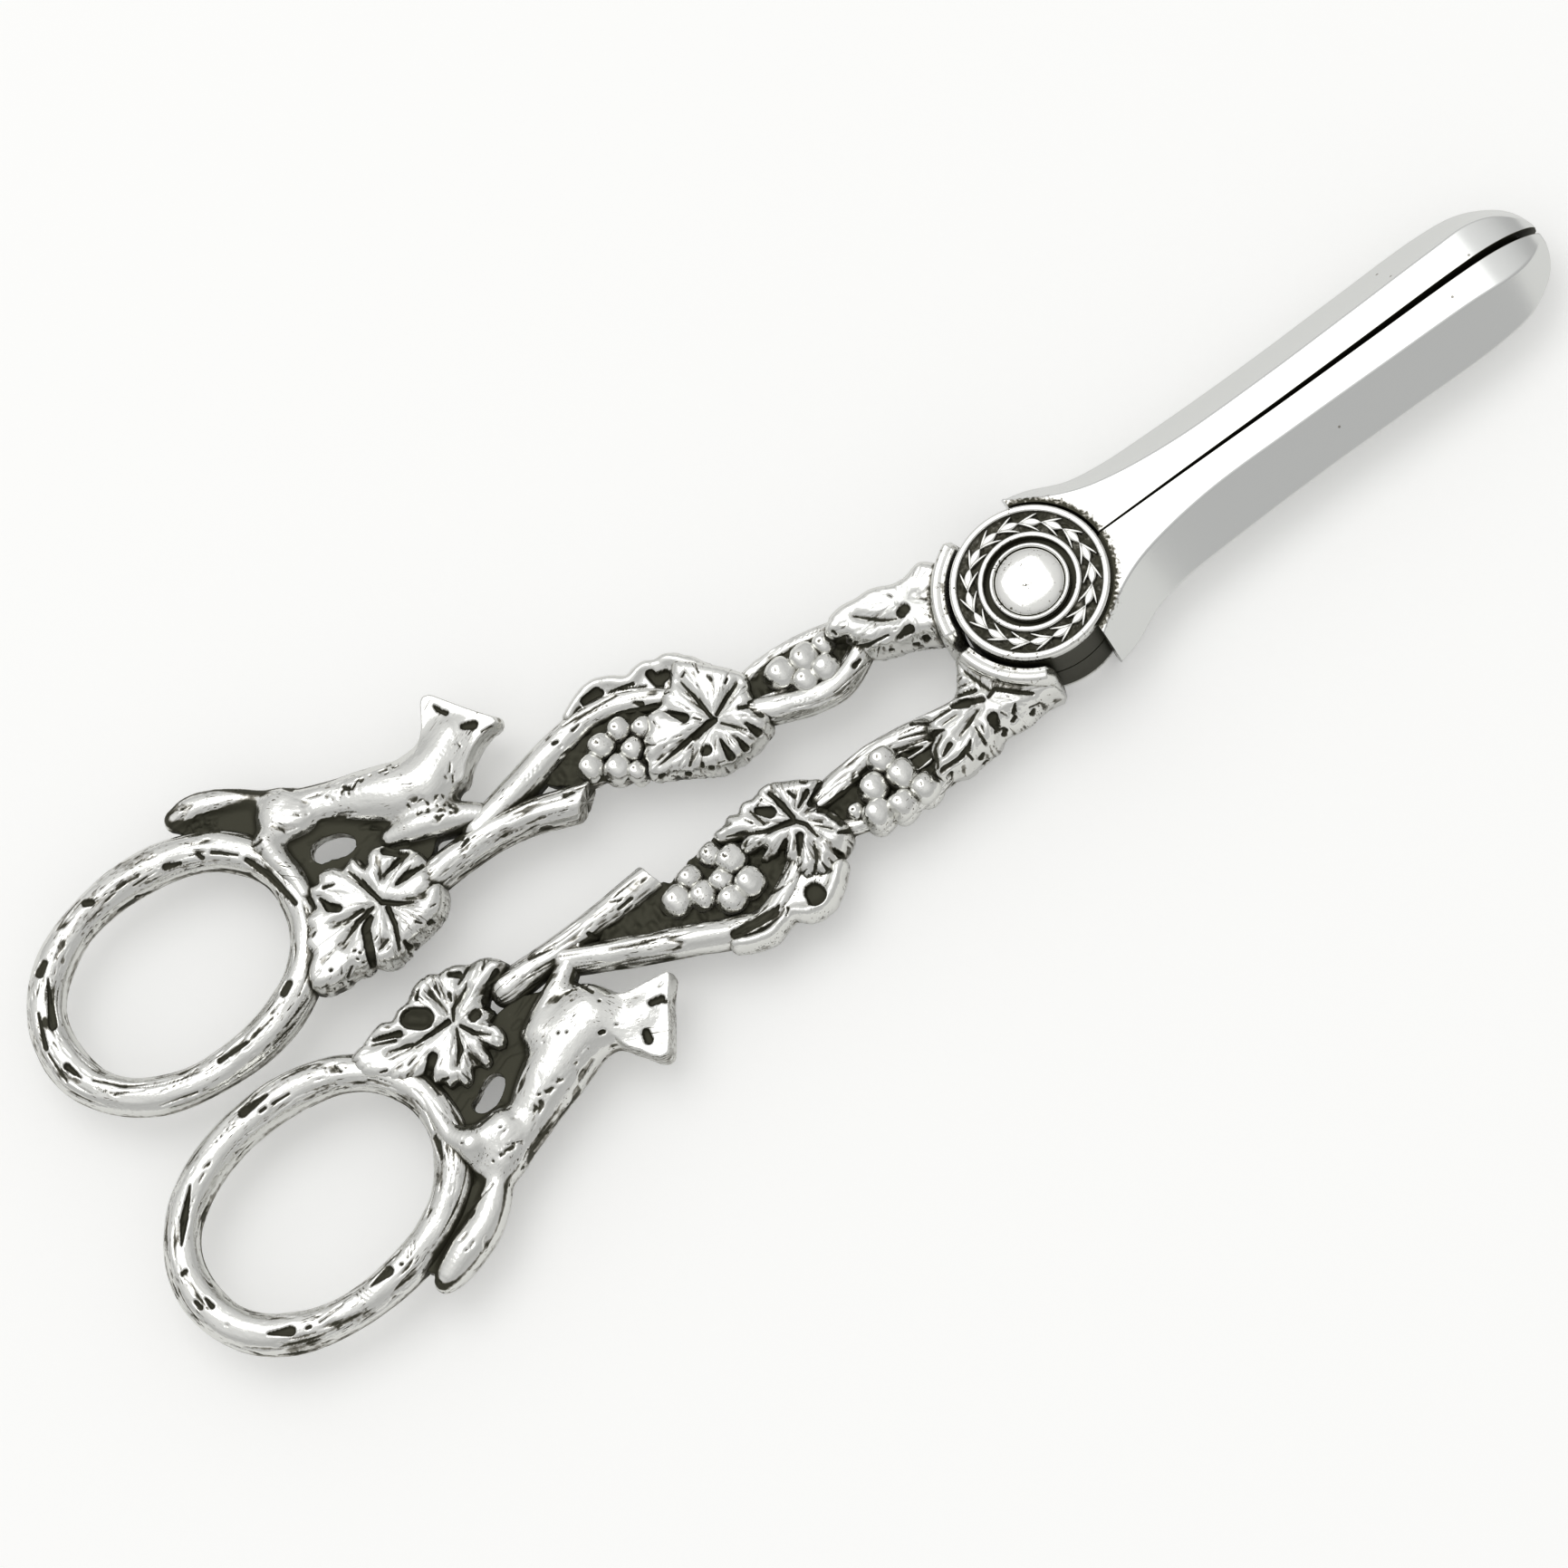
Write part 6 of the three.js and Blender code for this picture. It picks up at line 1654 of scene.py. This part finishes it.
def build_camera():
    """The photograph's view: from 69 degrees up, rolled, through a long lens."""
    distance = sizes().camera_distance
    middle = Vector((-0.0328, 0, MID_HEIGHT * MM))
    roll = math.radians(36.2)
    back = Vector((0, -math.sin(LEAN), math.cos(LEAN)))
    right = Vector((0, 0, 1)).cross(back).normalized()
    up = back.cross(right)
    across = right * math.cos(roll) - up * math.sin(roll)
    upward = right * math.sin(roll) + up * math.cos(roll)
    lens = bpy.data.cameras.new("camera")
    lens.sensor_width = 36
    lens.lens = 36 * distance / 0.1628  # the photograph is 162.8 mm wide at the object
    lens.clip_start = 0.01
    camera = shown("camera", lens)
    turn = Matrix((across, upward, back)).transposed().to_4x4()
    camera.matrix_world = Matrix.Translation(middle + back * distance) @ turn
    bpy.context.scene.camera = camera


# What a user may change


def length_value(name, description, default, low, high):
    return FloatProperty(
        name=name, description=description, default=default, min=low, max=high, unit="LENGTH", precision=5,
    )


def share_value(name, description, low, high):
    return FloatProperty(
        name=name, description=description, default=1.0, min=low, max=high, subtype="FACTOR",
    )


def colour_value(name, description, code):
    return FloatVectorProperty(
        name=name, description=description, default=hex_colour(code), size=3, min=0, max=1, subtype="COLOR",
    )


class ShearsSizes(bpy.types.PropertyGroup):
    """Sizes of the shears' details and of the stage"""

    gouge_depth: length_value("Gouge depth", "Depth of the chasing tool's cuts", 0.00042, 0, 0.001)
    bark_depth: share_value("Bark depth", "Depth of the bark furrows against the usual", 0, 2)
    blade_edge: length_value("Blade edge", "Rounding of the blades' long edges", 0.00025, 0.00005, 0.001)
    grape_swell: share_value("Grape swell", "Size of the grapes against the usual", 0.5, 1.3)
    sprig_count: IntProperty(
        name="Sprigs", description="How many sprigs of laurel go round the pivot", default=17, min=6, max=30,
    )
    sprig_length: length_value("Sprig length", "Length of one sprig of laurel", 0.0024, 0.001, 0.004)
    floor_size: length_value("Floor size", "Side of the square floor", 6.0, 1, 20)
    camera_distance: length_value("Camera distance", "From the camera to the shears", 0.85, 0.3, 3)


class ShearsColours(bpy.types.PropertyGroup):
    """Colours of the silver and of the stage"""

    polished: colour_value("Polished silver", "Where the castings are rubbed bright", "E6E6E2")
    tarnish: colour_value("Tarnish", "Between bright silver and patina", "96938A")
    patina: colour_value("Patina", "Down in the hollows", "3C3B2E")
    blade: colour_value("Blade silver", "The buffed blades", "E2E3E1")
    floor: colour_value("Floor", "The card under the shears", "F4F4F2")


# Operators, one for each piece or group of like pieces


class FingerRings(bpy.types.Operator):
    """Casts the two finger rings, with bark all round"""

    bl_idname = "shears.finger_rings"
    bl_label = "Finger rings"

    def execute(self, context):
        for arm, seed in (("front", 40), ("back", 50)):
            chase = stem_chase(ring_rows(arm), ARMS[arm]["finger_ring_marks"], seed, loop=True)
            cast_piece(arm, "finger_ring", chase)
        return {"FINISHED"}


class VineLeaves(bpy.types.Operator):
    """Casts the vine leaves of both arms, those at the shoulders too"""

    bl_idname = "shears.vine_leaves"
    bl_label = "Vine leaves"

    def execute(self, context):
        for arm, seed in (("front", 60), ("back", 70)):
            rows = (("ring_leaf", seed, 0.06), ("cane_leaf", seed, 0.06), ("shoulder_leaf", seed + 1, 0.25))
            for name, own_seed, rubbed in rows:
                cast_piece(arm, name, leaf_chase(ARMS[arm][name], own_seed), rubbed)
        return {"FINISHED"}


class Foxes(bpy.types.Operator):
    """Casts the two running foxes, with the webs that carry them"""

    bl_idname = "shears.foxes"
    bl_label = "Foxes"

    def execute(self, context):
        for arm, seed in (("front", 80), ("back", 90)):
            cast_piece(arm, "fox", fox_chase(ARMS[arm]["fox"], seed), 0.08, 1.3)
        return {"FINISHED"}


class Stems(bpy.types.Operator):
    """Casts the cut canes, the shoots and the curls of both arms"""

    bl_idname = "shears.stems"
    bl_label = "Canes, shoots and curls"

    def execute(self, context):
        for arm, seed in (("front", 100), ("back", 110)):
            shape = ARMS[arm]
            near, far = shape["forked_shoots"]
            stems = [
                ("cut_cane", shape["cut_cane"], seed, 0.0),
                ("outer_shoot", shape["outer_shoot"], seed + 2, 0.08),
                ("forked_shoots", near + far[::-1], seed + 4, 0.14),
            ]
            for name, rows, own_seed, rubbed in stems:
                cast_piece(arm, name, stem_chase(rows, shape[f"{name}_marks"], own_seed), rubbed)
            cast_piece(arm, "tendril", rough_chase(seed + 6, shape["tendril_marks"]), 0.25)
        return {"FINISHED"}


class Grapes(bpy.types.Operator):
    """Casts the four bunches of grapes on their beds"""

    bl_idname = "shears.grapes"
    bl_label = "Grapes"

    def execute(self, context):
        for arm in ARMS:
            for place in ("cane", "fork"):
                build_grapes(arm, f"{place}_grapes", f"{place}_grape_bed")
        return {"FINISHED"}


class Collars(bpy.types.Operator):
    """Bends the two collars round the joint"""

    bl_idname = "shears.collars"
    bl_label = "Collars"

    def execute(self, context):
        def toward_disc(points):
            ragged = off_axis(points) - 0.9 * (clouds(points / 0.5 + 40, 11) - 0.5)
            stain = 0.45 * soft_step(SOCKET + 0.75, SOCKET + 0.6, ragged)
            return stain + 0.25 * soft_step(3.9, 3.0, np.abs(points[:, 2])) - 0.1

        for arm, shape in ARMS.items():
            mesh = collar_mesh(f"{arm}_collar_bent", *shape["collar"])
            joint_piece(f"{arm}_collar_bent", mesh, arm, f"{arm}_collar", toward_disc)
        return {"FINISHED"}


class Blades(bpy.types.Operator):
    """Forges the two blades with their half-lap plates"""

    bl_idname = "shears.blades"
    bl_label = "Blades"

    def execute(self, context):
        finish = blade_silver()
        nut, deep, far = 4.8, 2.7, 9  # radius and top of the nut's recess, and a height past all
        front = [
            ("UNION", inner_bar(-1, 0)),
            ("DIFFERENCE", block(0, SOCKET, -far, PARTING)),
            ("DIFFERENCE", block(0, SOCKET, PLATE_TOP, far)),
            ("UNION", block(SHANK, PLATE, PARTING, PLATE_TOP)),
        ]
        below = [(0, -far), (SOCKET, -far), (SOCKET, -PLATE_TOP), (nut, -PLATE_TOP), (nut, -deep), (0, -deep)]
        plate = [
            (nut, -PLATE_TOP), (PLATE, -PLATE_TOP), (PLATE, -PARTING), (SHANK, -PARTING), (SHANK, -deep),
            (nut, -deep),
        ]
        back = [
            ("DIFFERENCE", inner_bar(1, 0.3)),
            ("DIFFERENCE", block(0, SOCKET, -PARTING, far)),
            ("DIFFERENCE", turned("below", below)),
            ("UNION", turned("plate", plate)),
        ]
        for arm, side, tools in (("front", -1, front), ("back", 1, back)):
            name = f"{arm}_blade_forged"
            blade = shaped(name, blade_mesh(f"{arm}_blade_bare", side), *tools)
            placed(name, blade, arm, finish, f"{arm}_blade")
        return {"FINISHED"}


class WreathBoss(bpy.types.Operator):
    """Casts the boss and its laurel wreath"""

    bl_idname = "shears.wreath_boss"
    bl_label = "Wreath boss"

    def execute(self, context):
        floor = 4.9  # height of the band that the wreath lies on
        corners = [
            (4.86, PLATE_TOP), (PLATE, PLATE_TOP), (PLATE, 5.12), (8.3, 5.42), (7.72, 5.42), (7.66, floor),
            (5.5, floor), (5.44, 5.5), (4.86, 5.5),
        ]
        profile = softened(corners, [0, 0.03, 0.12, 0.2, 0.2, 0.05, 0.05, 0.22, 0.22])
        at = max(n for n, (r, z) in enumerate(profile) if r > 7.3 and z < 5.0 and n > 3) + 1
        profile[at:at] = [(7.64 - 0.12 * n, floor) for n in range(1, 18)]
        boss = finely_turned("wreath_boss_cast", profile)
        points = corners_of(boss)
        radius = off_axis(points)
        # the ground is punched with small round dots
        ground = (np.abs(points[:, 2] - floor) < 0.05) & (radius > 5.6) & (radius < 7.6)
        points[:, 2] -= 0.2 * ground * soft_step(0.45, 0.7, clouds(points / 0.28 + 50, 13))
        move_corners(boss, points)

        def ground_and_grooves(points):
            radius, height = off_axis(points), points[:, 2]
            ground = soft_step(5.2, 4.95, height) * soft_step(8.1, 7.8, radius)
            groove = soft_step(0.3, 0.05, np.abs(radius - 4.72))
            side = soft_step(5.05, 4.5, height) * soft_step(8.3, 8.5, radius)
            return np.clip(0.76 * ground + 1.3 * groove + 0.2 * side, 0, 1.5)

        joint_piece("wreath_boss_cast", boss, "front", "wreath_boss", ground_and_grooves)
        finish = oxidised_silver("turned", 0.08)
        values = {"Count": sizes().sprig_count, "Radius": 6.53 * MM, "Material": finish}
        wreath = grown("wreath_sprigs", sprig_mesh(), wreath_tree(), values)

        def feet(points):
            return 0.9 * soft_step(5.03, 4.9, points[:, 2]) - 0.1

        joint_piece("wreath_sprigs", wreath, "front", "wreath_boss", feet)
        return {"FINISHED"}


class PivotScrew(bpy.types.Operator):
    """Turns the pivot screw with its dome and bead"""

    bl_idname = "shears.pivot_screw"
    bl_label = "Pivot screw"

    def execute(self, context):
        profile = [(0, -4.5), (2.4, -4.5), (2.4, PLATE_TOP), (4.27, PLATE_TOP)]
        for angle in np.linspace(0, math.pi, 11):
            profile.append((4.01 + 0.26 * math.cos(angle), 5.26 + 0.26 * math.sin(angle)))
        for angle in np.linspace(0.1, math.pi / 2, 28):
            profile.append((3.7 * math.cos(angle), 5.2 + 0.8 * math.sin(angle)))
        profile[-1] = (0, profile[-1][1])

        def groove(points):
            ring = soft_step(0.12, 0.03, np.abs(off_axis(points) - 3.74)) * (points[:, 2] < 5.36)
            return 1.1 * ring + soft_step(5.2, 4.9, points[:, 2])

        screw = finely_turned("pivot_screw_turned", profile)
        joint_piece("pivot_screw_turned", screw, "front", "pivot_screw", groove)
        return {"FINISHED"}


class PivotNut(bpy.types.Operator):
    """Turns the back nut with its two spanner holes"""

    bl_idname = "shears.pivot_nut"
    bl_label = "Pivot nut"

    def execute(self, context):
        corners = [(0, -5.4), (4.5, -5.4), (4.5, -3.0), (2.7, -3.0), (2.7, -4.8), (0, -4.8)]
        nut = turned("nut_bare", softened(corners, [0, 0.2, 0.1, 0.05, 0.05, 0]), 192)
        holes = []
        for side in (1, -1):
            hole = turned("hole", [(0, -6), (0.6, -6), (0.6, -4.7), (0, -4.7)], 32)
            hole.transform(Matrix.Translation((side * 3 * MM, 0, 0)))
            holes.append(("DIFFERENCE", hole))
        nut = shaped("pivot_nut_turned", nut, *holes)

        def holes_and_rim(points):
            return 0.9 * soft_step(-5.2, -4.9, points[:, 2])

        joint_piece("pivot_nut_turned", nut, "front", "pivot_nut", holes_and_rim)
        return {"FINISHED"}


class BackWasher(bpy.types.Operator):
    """Turns the moulded washer on the back"""

    bl_idname = "shears.back_washer"
    bl_label = "Back washer"

    def execute(self, context):
        corners = [
            (4.8, -5.4), (5.2, -5.4), (5.35, -5.2), (5.65, -5.2), (5.8, -5.4), (7.9, -5.4), (PLATE, -4.9),
            (PLATE, -PLATE_TOP), (4.8, -PLATE_TOP),
        ]

        def grooves(points):
            radius = off_axis(points)
            return np.maximum(soft_step(0.3, 0.05, np.abs(radius - 5.5)), soft_step(5.0, 4.82, radius))

        profile = softened(corners, [0.1, 0.1, 0.1, 0.1, 0.1, 0.25, 0.15, 0, 0])
        washer = finely_turned("back_washer_turned", profile)
        joint_piece("back_washer_turned", washer, "back", "back_boss", grooves)
        return {"FINISHED"}


class Stage(bpy.types.Operator):
    """Sets up the floor, the light and the camera"""

    bl_idname = "shears.stage"
    bl_label = "Stage"

    def execute(self, context):
        build_floor()
        build_world()
        build_lamp()
        build_camera()
        context.scene.view_settings.view_transform = "Standard"
        return {"FINISHED"}


OPERATORS = [
    FingerRings, VineLeaves, Foxes, Stems, Grapes, Collars, Blades, WreathBoss, PivotScrew, PivotNut,
    BackWasher, Stage,
]


class ShearsPanel(bpy.types.Panel):
    """Lists what builds the grape shears"""

    bl_idname = "VIEW3D_PT_grape_shears"
    bl_label = "Grape shears"
    bl_space_type = "VIEW_3D"
    bl_region_type = "UI"
    bl_category = "Grape shears"

    def draw(self, context):
        for group in (context.scene.shears_sizes, context.scene.shears_colours):
            for name in group.bl_rna.properties.keys():
                if name not in ("rna_type", "name"):
                    self.layout.prop(group, name)
        for operator in OPERATORS:
            self.layout.operator(operator.bl_idname)


CLASSES = [ShearsSizes, ShearsColours, *OPERATORS, ShearsPanel]


def register():
    for kind in CLASSES:
        bpy.utils.register_class(kind)
    bpy.types.Scene.shears_sizes = PointerProperty(type=ShearsSizes)
    bpy.types.Scene.shears_colours = PointerProperty(type=ShearsColours)


def unregister():
    del bpy.types.Scene.shears_colours
    del bpy.types.Scene.shears_sizes
    for kind in reversed(CLASSES):
        bpy.utils.unregister_class(kind)


def main():
    register()
    bpy.ops.shears.finger_rings()
    bpy.ops.shears.vine_leaves()
    bpy.ops.shears.foxes()
    bpy.ops.shears.stems()
    bpy.ops.shears.grapes()
    bpy.ops.shears.collars()
    bpy.ops.shears.blades()
    bpy.ops.shears.wreath_boss()
    bpy.ops.shears.pivot_screw()
    bpy.ops.shears.pivot_nut()
    bpy.ops.shears.back_washer()
    bpy.ops.shears.stage()


if __name__ == "__main__":
    main()
